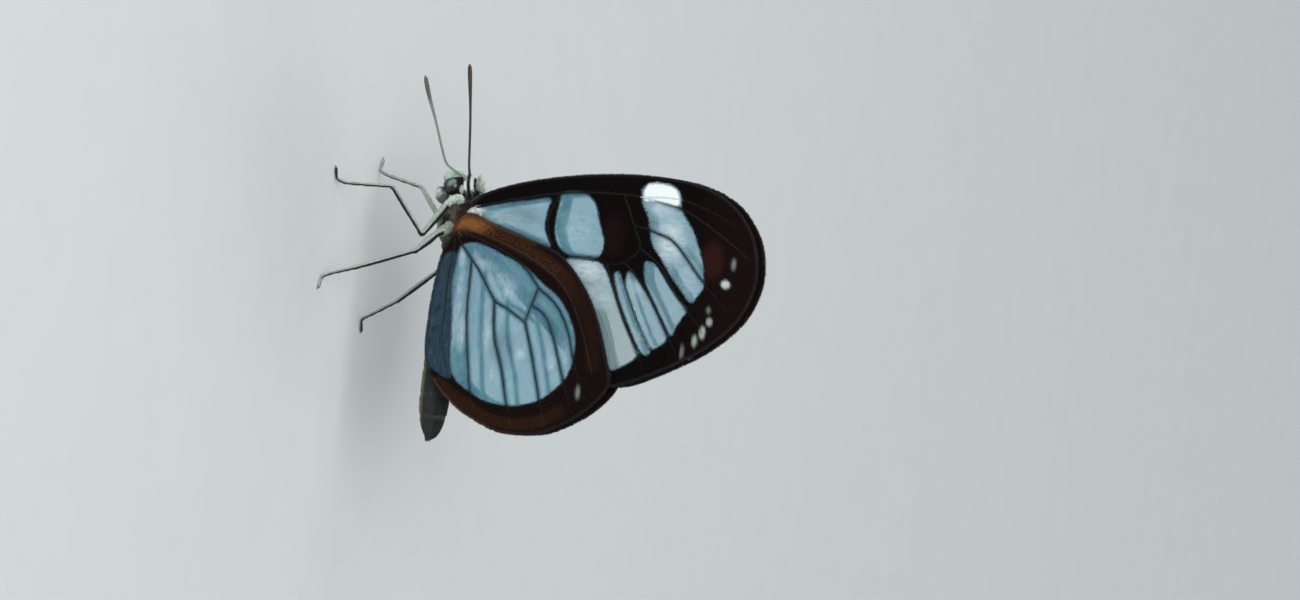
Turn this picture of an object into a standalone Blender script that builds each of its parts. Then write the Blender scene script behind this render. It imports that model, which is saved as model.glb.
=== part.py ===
"""Glasswing butterfly at rest: wings closed over its back, standing level on four walking legs.

The animal looks along -X and its left side is toward -Y.  The floor is z = 0.
Lengths are written in millimetres and scaled once by MM.
"""
import math

import bpy
import bmesh
from mathutils import Vector, geometry

MM = 0.001

# ---- driving dimensions, in millimetres ------------------------------------------------------
GAP = 0.3                      # air between one piece and the piece that it grows from
BODY_HEIGHT = 9.75             # body axis above the floor

THORAX_CENTRE = (-2.5, 0.0, BODY_HEIGHT)
THORAX_HALF = (2.35, 1.72, 1.8)
HEAD_CENTRE = (-5.7, 0.0, BODY_HEIGHT + 0.2)
HEAD_HALF = (1.05, 0.9, 1.5)
NECK_X = -4.68                 # middle of the cut between head and thorax
WAIST_X = -0.3                 # middle of the cut between thorax and abdomen
ABDOMEN_END_X = 16.65
ABDOMEN_DROP = 0.3             # how far below the body axis the abdomen leaves the thorax
ABDOMEN_TILT = 1.4             # its rise toward the tip, in degrees
ABDOMEN_WAIST = 0.78           # half width where it begins
ABDOMEN_SWELL = 0.62           # how much more it is where it is fullest
ABDOMEN_FULLEST = 0.78         # share of its length where that is
ABDOMEN_SEAMS = [0.07, 0.2, 0.34, 0.48, 0.62, 0.75, 0.87]
SEAM_HALF_WIDTH = 0.016        # as a share of its length
SEAM_DIP = 0.93                # radius at a seam, as a share of the rings'

CHEEK = 0.62                   # half width of the head where the eyes sit
EYE_CENTRE_X = -5.6
EYE_HEIGHT = BODY_HEIGHT - 0.5
EYE_HALF = (0.74, 0.5, 0.76)

MEMBRANE = 0.5                 # wing thickness between the veins
VEIN_RISE = 0.1                # height of a vein's ridge over the membrane, on each face
VEIN_HALF_WIDTH = 0.3
VEIN_STATION = 1.25            # spacing of the points along a vein
MARGIN_STATION = 1.1           # spacing of the points along a wing's margin
FIELD_STATION = 3.2            # spacing of the points in the open membrane
CLOSEST = 0.2                  # least distance between two points of a wing's net
JUNCTION = 0.7                 # reach within which a vein's end joins a point that is there
MERGE = 0.05                   # points closer than this are made one
CLEAR_OF_VEINS = 1.1           # least distance from a point of the open membrane to the others
ROOT_OFFSET = 1.45             # middle of a forewing's sheet from the body's middle plane
APEX_OFFSET = 0.62             # the same at the wing's top, where the pair almost meets
HINDWING_STEP = 0.88           # a hindwing's sheet lies this far outside the forewing's
WING_ROOT_HEIGHT = 11.2
WING_TOP_HEIGHT = 37.4
BOW = 1.3                      # above 1, the wings lean in more near their roots than near their tops
RIGHT_FOREWING_LIFT = 0.25     # the right forewing is held a little higher than the left
HINDWING_TUCK = 0.35           # how far a hindwing's outer edge bends in behind the forewing
HINDWING_TUCK_X = (6.0, 15.0)  # where that bend begins and ends

LEG_RADIUS = (0.33, 0.27, 0.25)      # femur, tibia, tarsus
BRUSH_TIP = 0.14
ANTENNA_RADII = (0.27, 0.25, 0.25, 0.25, 0.25, 0.3, 0.3, 0.12)     # root to club and tip
FOOT_SINK = 0.07               # how much of a tarsus's round underside is cut away on the floor

# ---- the wings, as (x, z) points of the left side --------------------------------------------
FOREWING_MARGIN = [
    (-3.35, 11.47), (-4.3, 11.55), (-5.3, 12.54), (-6.55, 15.51), (-7.6, 19.37), (-8.3, 23.42),
    (-8.6, 27.39), (-8.3, 31.44), (-7.0, 34.59), (-4.7, 36.61), (-2.3, 37.4), (0.1, 37.35),
    (2.9, 36.2), (5.6, 33.58), (8.1, 29.66), (9.7, 26.06), (9.2, 23.64), (6.3, 20.36),
    (3.2, 16.79), (0.4, 13.63), (-1.4, 11.8), (-2.3, 11.47),
]
FOREWING_COSTA = (FOREWING_MARGIN[1], FOREWING_MARGIN[9])     # the margin's own stout vein
FOREWING_VEINS = {
    "radius": [(-3.9, 12.15), (-5.3, 15.61), (-6.2, 19.07), (-6.7, 22.63), (-6.8, 26.3), (-6.2, 30.16),
               (-4.4, 33.84), (-2.5, 36.82)],
    "radial fork": [(-6.8, 26.3), (-7.0, 29.77), (-6.2, 33.04), (-5.1, 35.43)],
    "cubitus": [(-3.3, 12.05), (-2.9, 13.33), (-2.1, 16.1), (-1.3, 18.67), (-0.95, 20.75),
                (-1.0, 23.13), (-0.64, 24.12)],
    "cell bar": [(-6.3, 19.27), (-4.4, 18.48), (-3.1, 18.48), (-1.9, 18.97), (-1.15, 19.86)],
    "cell end": [(-6.8, 24.91), (-4.3, 26.1), (-2.4, 26.89), (-1.0, 25.7), (-0.64, 24.12)],
    "cubital one": [(-0.64, 24.12), (0.85, 24.81), (3.9, 26.3), (6.7, 27.88), (7.9, 28.5)],
    "medial three": [(-1.0, 25.7), (0.7, 27.49), (2.4, 28.78), (4.9, 30.36), (6.3, 31.3)],
    "medial two": [(-2.4, 26.89), (-1.1, 28.87), (0.45, 30.06), (2.6, 31.95), (4.4, 33.6)],
    "medial one": [(-4.3, 26.1), (-3.8, 28.48), (-3.1, 30.06), (-0.5, 32.55), (2.2, 35.4)],
    "cubital two": [(-1.3, 18.67), (1.5, 21.54), (4.8, 23.72), (8.8, 25.6)],
    "anal": [(-2.6, 12.05), (0.6, 15.11), (4.2, 19.07), (7.3, 22.53)],
}
HINDWING_MARGIN = [
    (-1.35, 10.21), (-2.6, 10.51), (-3.4, 11.7), (-2.4, 14.45), (-1.5, 18.09), (-0.6, 20.27),
    (1.85, 22.6), (4.5, 24.1), (7.7, 25.28), (9.6, 25.75), (11.5, 24.6), (13.2, 22.65),
    (14.7, 19.8), (15.0, 16.5), (13.9, 13.39), (12.9, 11.84), (11.9, 10.67), (10.4, 9.58),
    (8.8, 9.1), (6.2, 9.01), (3.1, 9.16), (0.5, 9.46),
]
HINDWING_COSTA = (HINDWING_MARGIN[1], HINDWING_MARGIN[8])
HINDWING_VEINS = {
    "subcosta": [(-2.2, 11.5), (-1.3, 14.65), (0.0, 18.0), (1.9, 20.7), (4.9, 22.6), (9.0, 24.2)],
    "radius": [(-1.7, 11.01), (-1.3, 12.78), (-0.5, 15.14), (0.6, 17.01), (2.2, 18.49)],
    "cell end": [(2.2, 18.49), (3.75, 18.04), (5.3, 17.65)],
    "cubitus": [(-1.0, 10.81), (0.5, 12.19), (1.6, 13.17), (3.7, 14.65), (4.35, 15.93), (5.3, 17.65)],
    "anal": [(0.5, 12.19), (2.2, 12.24), (5.4, 12.39), (9.2, 12.96), (12.0, 13.52), (13.4, 14.09)],
    "cubital two": [(3.7, 14.65), (6.85, 15.09), (9.7, 16.11), (12.2, 16.77), (14.4, 17.42)],
    "cubital one": [(5.3, 17.65), (7.6, 18.49), (11.7, 19.73), (14.2, 20.38)],
    "medial three": [(3.75, 18.04), (4.55, 19.38), (6.35, 20.37), (8.8, 21.3), (12.6, 22.7)],
    "medial one": [(2.2, 18.49), (3.5, 20.27), (5.5, 21.55), (8.0, 22.4), (11.2, 23.75)],
    "inner anal": [(0.4, 10.41), (3.4, 10.31), (7.8, 10.5), (11.6, 11.56)],
}

# ---- legs, feelers and palps: points after the root, (x, distance to the side, z) -------------
# A walking leg's joints are its trochanter, knee and ankle, then its heel and toe on the floor.
WALKING_LEGS = {
    "mid_left": [(-4.22, 1.85, 9.35), (-1.1, 3.05, 7.65), (-4.95, 4.5, 4.85), (-4.7, 5.6, 0.9),
                 (-4.95, 5.9, 0.0), (-5.9, 6.45, 0.0)],
    "mid_right": [(-4.25, 1.85, 9.35), (-1.7, 3.1, 7.9), (-5.3, 4.6, 4.6), (-6.0, 5.5, 0.9),
                  (-6.3, 5.8, 0.0), (-7.3, 6.3, 0.0)],
    "hind_left": [(-1.5, 2.15, 8.85), (0.33, 3.2, 7.35), (2.55, 5.7, 2.7), (3.3, 6.25, 0.8),
                  (3.65, 6.45, 0.0), (4.6, 6.95, 0.0)],
    "hind_right": [(-1.4, 2.15, 8.9), (1.5, 3.1, 8.0), (5.0, 4.9, 3.6), (6.6, 5.7, 0.9),
                   (7.0, 5.95, 0.0), (8.1, 6.4, 0.0)],
}
BRUSH_LEGS = {
    "fore_left": [(-4.75, 0.85, 7.95), (-5.35, 0.92, 7.85), (-5.75, 0.82, 7.95)],
    "fore_right": [(-4.75, 0.85, 7.95), (-5.3, 0.92, 7.85), (-5.7, 0.84, 7.9)],
}
JOINT_BEND = 0.3               # how far from a joint its rounding begins
LEG_ROOTS = {                  # unit directions from the thorax's centre
    "fore": (-0.70, 0.30, -0.65),
    "mid": (-0.72, 0.66, 0.06),
    "hind": (0.25, 0.90, -0.36),
}
LEG_CLEARANCE = {              # how far that root is off the thorax's skin
    "fore": GAP,
    "mid": 2 * GAP,            # its first length lies along the thorax
    "hind": GAP,
}
ANTENNA_ROOT = (-0.87, 0.42, 0.25)
ANTENNA_PATHS = {
    "left": [(-7.2, 1.4, 9.3), (-7.6, 1.95, 8.65), (-8.9, 2.75, 8.3), (-11.2, 4.0, 7.8),
             (-13.2, 5.45, 7.4), (-14.8, 6.6, 7.2)],
    "right": [(-7.7, 1.2, 9.75), (-9.4, 2.2, 9.25), (-11.9, 3.7, 8.5), (-14.4, 5.25, 7.65),
              (-16.7, 6.8, 6.8)],
}
PALP_ROOT = (-0.55, 0.36, -0.75)
PALP_PATH = [(-6.85, 0.46, 8.55), (-7.12, 0.45, 8.9), (-7.2, 0.43, 9.4)]
PALP_RADII = (0.22, 0.26, 0.27, 0.22)
ANTENNA_STATION = 0.9          # spacing of the rings of corners along a feeler
PALP_STATION = 0.4
TONGUE_CENTRE = (-6.3, 0.0, 7.8)
TONGUE_COIL = (0.34, 0.19)     # radius of the coil and of its tube

SIDES = {"left": -1.0, "right": 1.0}


# ---- scene and materials ---------------------------------------------------------------------
def empty_scene():
    for item in list(bpy.context.scene.objects):
        bpy.data.objects.remove(item, do_unlink=True)


def new_collection(name):
    group = bpy.data.collections.new(name)
    bpy.context.scene.collection.children.link(group)
    return group


def finish(name, colour, roughness, metallic=0.0):
    material = bpy.data.materials.new(name)
    material.use_nodes = True
    shader = material.node_tree.nodes["Principled BSDF"]
    shader.inputs["Base Color"].default_value = (*colour, 1.0)
    shader.inputs["Roughness"].default_value = roughness
    shader.inputs["Metallic"].default_value = metallic
    return material


def add_object(name, mesh, group, material):
    item = bpy.data.objects.new(name, mesh)
    group.objects.link(item)
    mesh.materials.append(material)
    return item


def evaluated_mesh(item):
    """The item's mesh with its modifiers or bevel applied, in its own space."""
    graph = bpy.context.evaluated_depsgraph_get()
    graph.update()
    return bpy.data.meshes.new_from_object(item.evaluated_get(graph))


# ---- curves ----------------------------------------------------------------------------------
def spline_point(points, index, share, closed):
    """A point of the Catmull-Rom curve, a share of the way from one point to the next."""
    count = len(points)

    def at(i):
        return points[i % count] if closed else points[min(max(i, 0), count - 1)]

    before, start, end, after = (Vector(at(index + i)) for i in (-1, 0, 1, 2))
    return 0.5 * (2.0 * start + (end - before) * share
                  + (2.0 * before - 5.0 * start + 4.0 * end - after) * share ** 2
                  + (3.0 * start - before - 3.0 * end + after) * share ** 3)


def smooth_line(points, station, closed=False):
    """Evenly spaced points along the smooth curve through the given ones."""
    spans = len(points) if closed else len(points) - 1
    fine = [spline_point(points, i, j / 12.0, closed) for i in range(spans) for j in range(12)]
    fine.append(Vector(points[0] if closed else points[-1]))
    lengths = [0.0]
    for first, second in zip(fine, fine[1:]):
        lengths.append(lengths[-1] + (second - first).length)
    count = max(2, round(lengths[-1] / station))
    line = []
    index = 0
    for step in range(count + 1):
        goal = lengths[-1] * step / count
        while index < len(fine) - 2 and lengths[index + 1] < goal:
            index += 1
        share = (goal - lengths[index]) / max(lengths[index + 1] - lengths[index], 1e-9)
        line.append(fine[index].lerp(fine[index + 1], share))
    return line[:-1] if closed else line


# ---- head, thorax and abdomen ----------------------------------------------------------------
def surface_point(centre, half, direction, clearance=GAP):
    """A point a clearance off an ellipsoid's skin, in a direction from its centre."""
    unit = Vector(direction).normalized()
    skin = Vector([c + h * u for c, h, u in zip(centre, half, unit)])
    normal = Vector([u / h for u, h in zip(unit, half)]).normalized()
    return skin + normal * clearance


def ellipsoid(name, centre, half, group, material, segments=22, rings=14):
    """A ball whose poles lie along X, stretched to the half lengths given."""
    form = bmesh.new()
    bmesh.ops.create_uvsphere(form, u_segments=segments, v_segments=rings, radius=1.0)
    for vert in form.verts:
        across, along = vert.co.x, vert.co.z
        vert.co = (along * half[0] * MM, vert.co.y * half[1] * MM, -across * half[2] * MM)
    mesh = bpy.data.meshes.new(name)
    form.to_mesh(mesh)
    form.free()
    mesh.shade_smooth()
    item = add_object(name, mesh, group, material)
    item.location = Vector(centre) * MM
    return item


def cut_flat(item, point, outward):
    """Cut off what lies beyond a plane and close the cut with one flat face."""
    form = bmesh.new()
    form.from_mesh(item.data)
    place = Vector(point) * MM - item.location
    cut = bmesh.ops.bisect_plane(form, geom=form.verts[:] + form.edges[:] + form.faces[:],
                                 plane_co=place, plane_no=outward, clear_outer=True)
    rim = [part for part in cut["geom_cut"] if isinstance(part, bmesh.types.BMEdge)]
    bmesh.ops.contextual_create(form, geom=rim)
    form.to_mesh(item.data)
    form.free()


def build_thorax(group, material):
    thorax = ellipsoid("thorax", THORAX_CENTRE, THORAX_HALF, group, material)
    cut_flat(thorax, (NECK_X + GAP / 2, 0.0, 0.0), (-1.0, 0.0, 0.0))
    cut_flat(thorax, (WAIST_X - GAP / 2, 0.0, 0.0), (1.0, 0.0, 0.0))


def build_head(group, skin, eye_finish):
    """The head is cut flat at both cheeks, and half a ball stands off each as an eye."""
    head = ellipsoid("head", HEAD_CENTRE, HEAD_HALF, group, skin)
    cut_flat(head, (NECK_X - GAP / 2, 0.0, 0.0), (1.0, 0.0, 0.0))
    for side, sign in SIDES.items():
        cut_flat(head, (0.0, sign * CHEEK, 0.0), (0.0, sign, 0.0))
        centre = (EYE_CENTRE_X, sign * (CHEEK + GAP), EYE_HEIGHT)
        eye = ellipsoid("eye_" + side, centre, EYE_HALF, group, eye_finish, segments=18, rings=12)
        cut_flat(eye, centre, (0.0, -sign, 0.0))


def abdomen_radius(along):
    """Half width at a share of the abdomen's length: slim waist, fullest near the end."""
    rise = math.sin(min(along / ABDOMEN_FULLEST, 1.0) * math.pi / 2) ** 1.3
    past = max(0.0, (along - ABDOMEN_FULLEST) / (1.0 - ABDOMEN_FULLEST))
    return (ABDOMEN_WAIST + ABDOMEN_SWELL * rise) * math.sqrt(max(0.0, 1.0 - past ** 2.2))


def build_abdomen(group, material):
    """Seven rings turned about the body's axis, each dipping a little at its seam."""
    start = WAIST_X + GAP / 2
    length = ABDOMEN_END_X - start
    seams = ABDOMEN_SEAMS
    shares = sorted({0.0, 0.95, 0.985, 1.0}
                    | {seam + step * SEAM_HALF_WIDTH for seam in seams for step in (-1, 0, 1)}
                    | {(first + second) / 2 for first, second in zip(seams, seams[1:])})
    profile = bmesh.new()
    corners = [profile.verts.new((0.0, 0.0, length * MM))]
    for share in reversed(shares[:-1]):
        dip = SEAM_DIP if share in seams else 1.0
        radius = abdomen_radius(share) * dip
        corners.append(profile.verts.new((radius * MM, 0.0, share * length * MM)))
    corners.append(profile.verts.new((0.0, 0.0, 0.0)))
    for first, second in zip(corners, corners[1:]):
        profile.edges.new((first, second))
    mesh = bpy.data.meshes.new("abdomen")
    profile.to_mesh(mesh)
    profile.free()
    abdomen = add_object("abdomen", mesh, group, material)
    turn = abdomen.modifiers.new("turned", "SCREW")
    turn.axis = "Z"
    turn.steps = turn.render_steps = 20
    turn.use_merge_vertices = True
    turn.merge_threshold = 0.00001
    turn.use_smooth_shade = True
    abdomen.location = Vector((start, 0.0, BODY_HEIGHT - ABDOMEN_DROP)) * MM
    abdomen.rotation_euler = (0.0, math.radians(90.0 - ABDOMEN_TILT), 0.0)


# ---- tubes: legs, feelers, palps and tongue --------------------------------------------------
def blended(values, share):
    """The value a share of the way along a list of evenly spaced values."""
    place = share * (len(values) - 1)
    first = min(int(place), len(values) - 2)
    return values[first] + (values[first + 1] - values[first]) * (place - first)


def tapered(path, station, radii):
    """A smooth line through the path, each point with its radius blended from the given ones."""
    line = smooth_line(path, station)
    return [(point, blended(radii, i / (len(line) - 1))) for i, point in enumerate(line)]


def jointed(path, radii):
    """Straight segments whose joints are rounded, with one radius for each given point."""
    stops = [Vector(point) for point in path]
    line = [(stops[0], radii[0])]
    for before, joint, after, radius in zip(stops, stops[1:], stops[2:], radii[1:]):
        back = (before - joint).normalized() * min(JOINT_BEND, (before - joint).length / 2.2)
        ahead = (after - joint).normalized() * min(JOINT_BEND, (after - joint).length / 2.2)
        line += [(joint + back, radius), (joint + (back + ahead) / 4, radius), (joint + ahead, radius)]
    line.append((stops[-1], radii[-1]))
    return line


def tube(name, line, group, material, on_floor=False):
    """A round tube along a line of points and radii, cut flat where it lies on the floor."""
    curve = bpy.data.curves.new(name, "CURVE")
    curve.dimensions = "3D"
    curve.bevel_depth = MM
    curve.bevel_resolution = 2
    curve.use_fill_caps = True
    spline = curve.splines.new("POLY")
    spline.points.add(len(line) - 1)
    for knot, (centre, radius) in zip(spline.points, line):
        knot.co = (*(centre * MM), 1.0)
        knot.radius = radius
    guide = bpy.data.objects.new(name + " guide", curve)
    group.objects.link(guide)
    mesh = evaluated_mesh(guide)
    bpy.data.objects.remove(guide, do_unlink=True)
    form = bmesh.new()
    form.from_mesh(mesh)
    bmesh.ops.remove_doubles(form, verts=form.verts, dist=0.000001)
    if on_floor:
        cut = bmesh.ops.bisect_plane(form, geom=form.verts[:] + form.edges[:] + form.faces[:],
                                     plane_co=(0.0, 0.0, 0.0), plane_no=(0.0, 0.0, -1.0),
                                     clear_outer=True)
        rim = [part for part in cut["geom_cut"] if isinstance(part, bmesh.types.BMEdge)]
        bmesh.ops.holes_fill(form, edges=rim)
    bmesh.ops.recalc_face_normals(form, faces=form.faces)
    form.to_mesh(mesh)
    form.free()
    mesh.name = name
    mesh.shade_smooth()
    return add_object(name, mesh, group, material)


def to_side(points, sign):
    return [(x, y * sign, z) for x, y, z in points]


def leg_root(pair):
    """Where a leg begins beside the thorax."""
    return surface_point(THORAX_CENTRE, THORAX_HALF, LEG_ROOTS[pair], LEG_CLEARANCE[pair])


def build_legs(group, material):
    femur, tibia, tarsus = LEG_RADIUS
    for name, joints in WALKING_LEGS.items():
        pair, side = name.split("_")
        stops = [(x, y, max(z, tarsus - FOOT_SINK)) for x, y, z in joints]
        path = to_side([leg_root(pair)] + stops, SIDES[side])
        radii = (femur, femur, (femur + tibia) / 2, tibia, tarsus, tarsus, tarsus)
        tube("leg_" + name, jointed(path, radii), group, material, on_floor=True)
    for name, joints in BRUSH_LEGS.items():
        pair, side = name.split("_")
        path = to_side([leg_root(pair)] + joints, SIDES[side])
        tube("leg_" + name, jointed(path, (tibia, femur, tarsus, BRUSH_TIP)), group, material)


def build_feelers(group, antenna_finish, palp_finish):
    for side, sign in SIDES.items():
        root = surface_point(HEAD_CENTRE, HEAD_HALF, ANTENNA_ROOT)
        path = to_side([root] + ANTENNA_PATHS[side], sign)
        tube("antenna_" + side, tapered(path, ANTENNA_STATION, ANTENNA_RADII), group, antenna_finish)
        root = surface_point(HEAD_CENTRE, HEAD_HALF, PALP_ROOT)
        path = to_side([root] + PALP_PATH, sign)
        tube("palp_" + side, tapered(path, PALP_STATION, PALP_RADII), group, palp_finish)


def build_tongue(group, material):
    coil, thickness = TONGUE_COIL
    bpy.ops.mesh.primitive_torus_add(major_segments=20, minor_segments=8, major_radius=coil * MM,
                                     minor_radius=thickness * MM, rotation=(math.pi / 2, 0, 0),
                                     location=Vector(TONGUE_CENTRE) * MM)
    tongue = bpy.context.object
    tongue.name = tongue.data.name = "proboscis"
    for holder in list(tongue.users_collection):
        holder.objects.unlink(tongue)
    group.objects.link(tongue)
    tongue.data.materials.append(material)
    tongue.data.shade_smooth()


# ---- wings -----------------------------------------------------------------------------------
def distance_to_line(point, line):
    best = 1e9
    for first, second in zip(line, line[1:]):
        near, share = geometry.intersect_point_line(point, first, second)
        near = first if share < 0.0 else second if share > 1.0 else near
        best = min(best, (Vector(point[:2]) - Vector(near[:2])).length)
    return best


def inside(point, outline):
    """Whether a point lies inside a closed outline, by counting the edges to its right."""
    odd = False
    for first, second in zip(outline, outline[1:] + outline[:1]):
        if (first.y > point.y) != (second.y > point.y):
            crossing = first.x + (point.y - first.y) * (second.x - first.x) / (second.y - first.y)
            odd ^= point.x < crossing
    return odd


def nearest(corners, point, reach):
    """The index of the corner nearest to a point, or None where none is within reach."""
    index = min(range(len(corners)), key=lambda i: (corners[i] - point).length)
    return index if (corners[index] - point).length < reach else None


def wing_lines(margin, costa, veins):
    """The margin as a closed line, and each vein as a line: the costa is a run of the margin."""
    outline = smooth_line(margin, MARGIN_STATION, closed=True)
    first, last = (nearest(outline, Vector(end), MARGIN_STATION) for end in costa)
    return outline, [outline[first:last + 1]] + [smooth_line(v, VEIN_STATION) for v in veins.values()]


def wing_net(outline, lines):
    """Triangles that fill the margin, with a row of corners along each vein and its two flanks."""
    ring = outline + outline[:1]
    corners = list(outline)
    edges = [(i, (i + 1) % len(outline)) for i in range(len(outline))]

    def add_row(points, reaches):
        """Join the points into one line of edges; None breaks it, and near corners are shared."""
        previous = None
        for point, reach in zip(points, reaches):
            index = None if point is None else nearest(corners, point, reach)
            if point is not None and index is None:
                corners.append(point)
                index = len(corners) - 1
            if None not in (previous, index) and previous != index:
                edges.append((previous, index))
            previous = index

    for line in lines:
        add_row(line, [JUNCTION] + [CLOSEST] * (len(line) - 2) + [JUNCTION])
    for line in lines:
        others = [other for other in lines if other is not line]
        for side in (-1.0, 1.0):
            row = []
            for place, point in enumerate(line):
                ahead = line[min(place + 1, len(line) - 1)] - line[max(place - 1, 0)]
                spot = point + Vector((-ahead.y, ahead.x)).normalized() * side * VEIN_HALF_WIDTH
                is_free = inside(spot, outline) and distance_to_line(spot, ring) > CLOSEST and all(
                    distance_to_line(spot, other) > CLOSEST for other in others)
                row.append(spot if is_free else None)
            add_row(row, [CLOSEST] * len(row))
    low = [min(point[axis] for point in outline) for axis in (0, 1)]
    high = [max(point[axis] for point in outline) for axis in (0, 1)]
    for row in range(int((high[1] - low[1]) / FIELD_STATION)):
        for column in range(int((high[0] - low[0]) / FIELD_STATION)):
            spot = Vector((low[0] + (column + 0.5 + 0.5 * (row % 2)) * FIELD_STATION,
                           low[1] + (row + 0.5) * FIELD_STATION))
            if inside(spot, outline) and nearest(corners, spot, CLEAR_OF_VEINS) is None:
                corners.append(spot)
    net = geometry.delaunay_2d_cdt(corners, edges, [list(range(len(outline)))], 1, MERGE)
    return net[0], net[2]


def build_wing(name, margin, costa, veins, sign, bow, group, material, lift=0.0):
    """One sheet over the net, thickened to both faces alike and more where a vein runs."""
    outline, lines = wing_lines(margin, costa, veins)
    corners, faces = wing_net(outline, lines)
    form = bmesh.new()
    verts = [form.verts.new((spot.x * MM, sign * bow(spot) * MM, (spot.y + lift) * MM))
             for spot in corners]
    for face in faces:
        form.faces.new([verts[i] for i in face])
    bmesh.ops.recalc_face_normals(form, faces=form.faces)
    mesh = bpy.data.meshes.new(name)
    form.to_mesh(mesh)
    form.free()
    mesh.shade_smooth()
    wing = add_object(name, mesh, group, material)
    crest = wing.vertex_groups.new(name="veins")
    for index, spot in enumerate(corners):
        near = min(distance_to_line(spot, line) for line in lines)
        crest.add([index], max(0.0, 1.0 - near / VEIN_HALF_WIDTH), "REPLACE")
    sheet = wing.modifiers.new("membrane", "SOLIDIFY")
    sheet.offset = 0.0
    sheet.thickness = (MEMBRANE + 2 * VEIN_RISE) * MM
    sheet.vertex_group = crest.name
    sheet.thickness_vertex_group = MEMBRANE / (MEMBRANE + 2 * VEIN_RISE)
    return wing


def forewing_bow(spot):
    """How far the forewing's sheet stands from the middle plane: the closed wings lean together."""
    left = 1.0 - max(0.0, spot.y - WING_ROOT_HEIGHT) / (WING_TOP_HEIGHT - WING_ROOT_HEIGHT)
    return APEX_OFFSET + (ROOT_OFFSET - APEX_OFFSET) * max(0.0, left) ** BOW


def hindwing_bow(spot):
    first, last = HINDWING_TUCK_X
    tuck = HINDWING_TUCK * (max(0.0, spot.x - first) / (last - first)) ** 2
    return forewing_bow(spot) + HINDWING_STEP - tuck


def build_wings(group, fore_finish, hind_finish):
    for side, sign in SIDES.items():
        build_wing("forewing_" + side, FOREWING_MARGIN, FOREWING_COSTA, FOREWING_VEINS, sign,
                   forewing_bow, group, fore_finish, lift=RIGHT_FOREWING_LIFT if sign > 0 else 0.0)
        build_wing("hindwing_" + side, HINDWING_MARGIN, HINDWING_COSTA, HINDWING_VEINS, sign,
                   hindwing_bow, group, hind_finish)


# ---- the whole animal ------------------------------------------------------------------------
def build_butterfly():
    empty_scene()
    butterfly = new_collection("glasswing_butterfly")
    dark_scales = finish("dark scales", (0.03, 0.03, 0.028), 0.7)
    grey_scales = finish("grey brown scales", (0.09, 0.085, 0.07), 0.7)
    eye = finish("compound eye", (0.012, 0.01, 0.012), 0.25)
    leg = finish("cream and grey leg", (0.3, 0.36, 0.32), 0.6)
    feeler = finish("dark feeler", (0.03, 0.028, 0.022), 0.55)
    membrane = finish("clear membrane", (0.25, 0.34, 0.38), 0.35)
    build_thorax(butterfly, grey_scales)
    build_head(butterfly, dark_scales, eye)
    build_abdomen(butterfly, dark_scales)
    build_legs(butterfly, leg)
    build_feelers(butterfly, feeler, leg)
    build_tongue(butterfly, feeler)
    build_wings(butterfly, membrane, membrane)


build_butterfly()
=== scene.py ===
import math
from functools import partial

import bmesh
import bpy
import numpy as np
from mathutils import Matrix, Vector


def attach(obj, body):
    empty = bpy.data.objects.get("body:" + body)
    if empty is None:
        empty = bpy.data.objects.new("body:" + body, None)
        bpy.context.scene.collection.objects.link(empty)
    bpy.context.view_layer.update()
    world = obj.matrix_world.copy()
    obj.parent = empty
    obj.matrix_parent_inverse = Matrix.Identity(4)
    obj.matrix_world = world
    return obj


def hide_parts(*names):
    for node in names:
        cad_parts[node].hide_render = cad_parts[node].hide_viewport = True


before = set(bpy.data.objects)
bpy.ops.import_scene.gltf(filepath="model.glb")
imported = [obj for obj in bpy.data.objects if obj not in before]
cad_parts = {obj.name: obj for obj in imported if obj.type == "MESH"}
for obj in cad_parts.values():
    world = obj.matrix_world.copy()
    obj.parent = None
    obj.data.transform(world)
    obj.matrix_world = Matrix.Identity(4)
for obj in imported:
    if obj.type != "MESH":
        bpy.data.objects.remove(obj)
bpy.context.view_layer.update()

MM = 0.001

# ---- studio ----------------------------------------------------------------------------------
# A plain pale floor under soft light. A broad lamp hangs over the left wings, a second one fills
# from the head's side, and the sky is an even pale grey.


def material(name, **sockets):
    made = bpy.data.materials.new(name)
    made.use_nodes = True
    shader = made.node_tree.nodes["Principled BSDF"]
    for socket, value in sockets.items():
        shader.inputs[socket.replace("_", " ")].default_value = value
    return made, made.node_tree, shader


def node(tree, kind, inputs, **settings):
    made = tree.nodes.new("ShaderNode" + kind)
    for setting, value in settings.items():
        setattr(made, setting, value)
    for socket, value in inputs.items():
        if isinstance(value, bpy.types.NodeSocket):
            tree.links.new(value, made.inputs[socket])
        else:
            made.inputs[socket].default_value = value
    return made


def place_on(tree):
    return node(tree, "TexCoord", {}).outputs["Object"]


def noise(tree, size, detail=3.0):
    """Even noise whose lumps are about size millimetres across."""
    return node(tree, "TexNoise", {"Vector": place_on(tree), "Scale": 1.0 / (size * MM), "Detail": detail,
                                   "Roughness": 0.55}).outputs["Fac"]


def spread(tree, value, low, high, to_low=0.0, to_high=1.0):
    return node(tree, "MapRange", {"Value": value, "From Min": low, "From Max": high,
                                   "To Min": to_low, "To Max": to_high}).outputs["Result"]


def blend(tree, share, first, second, way="MIX"):
    first, second = (value if isinstance(value, bpy.types.NodeSocket) else (*value, 1.0)
                     for value in (first, second))
    return node(tree, "Mix", {0: share, 6: first, 7: second}, data_type="RGBA", blend_type=way).outputs[2]


def feed(shader, **sockets):
    for socket, value in sockets.items():
        shader.id_data.links.new(value, shader.inputs[socket.replace("_", " ")])


def stand(name, data):
    """Puts a mesh, a lamp or a camera into the scene."""
    made = bpy.data.objects.new(name, data)
    bpy.context.scene.collection.objects.link(made)
    return made


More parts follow.
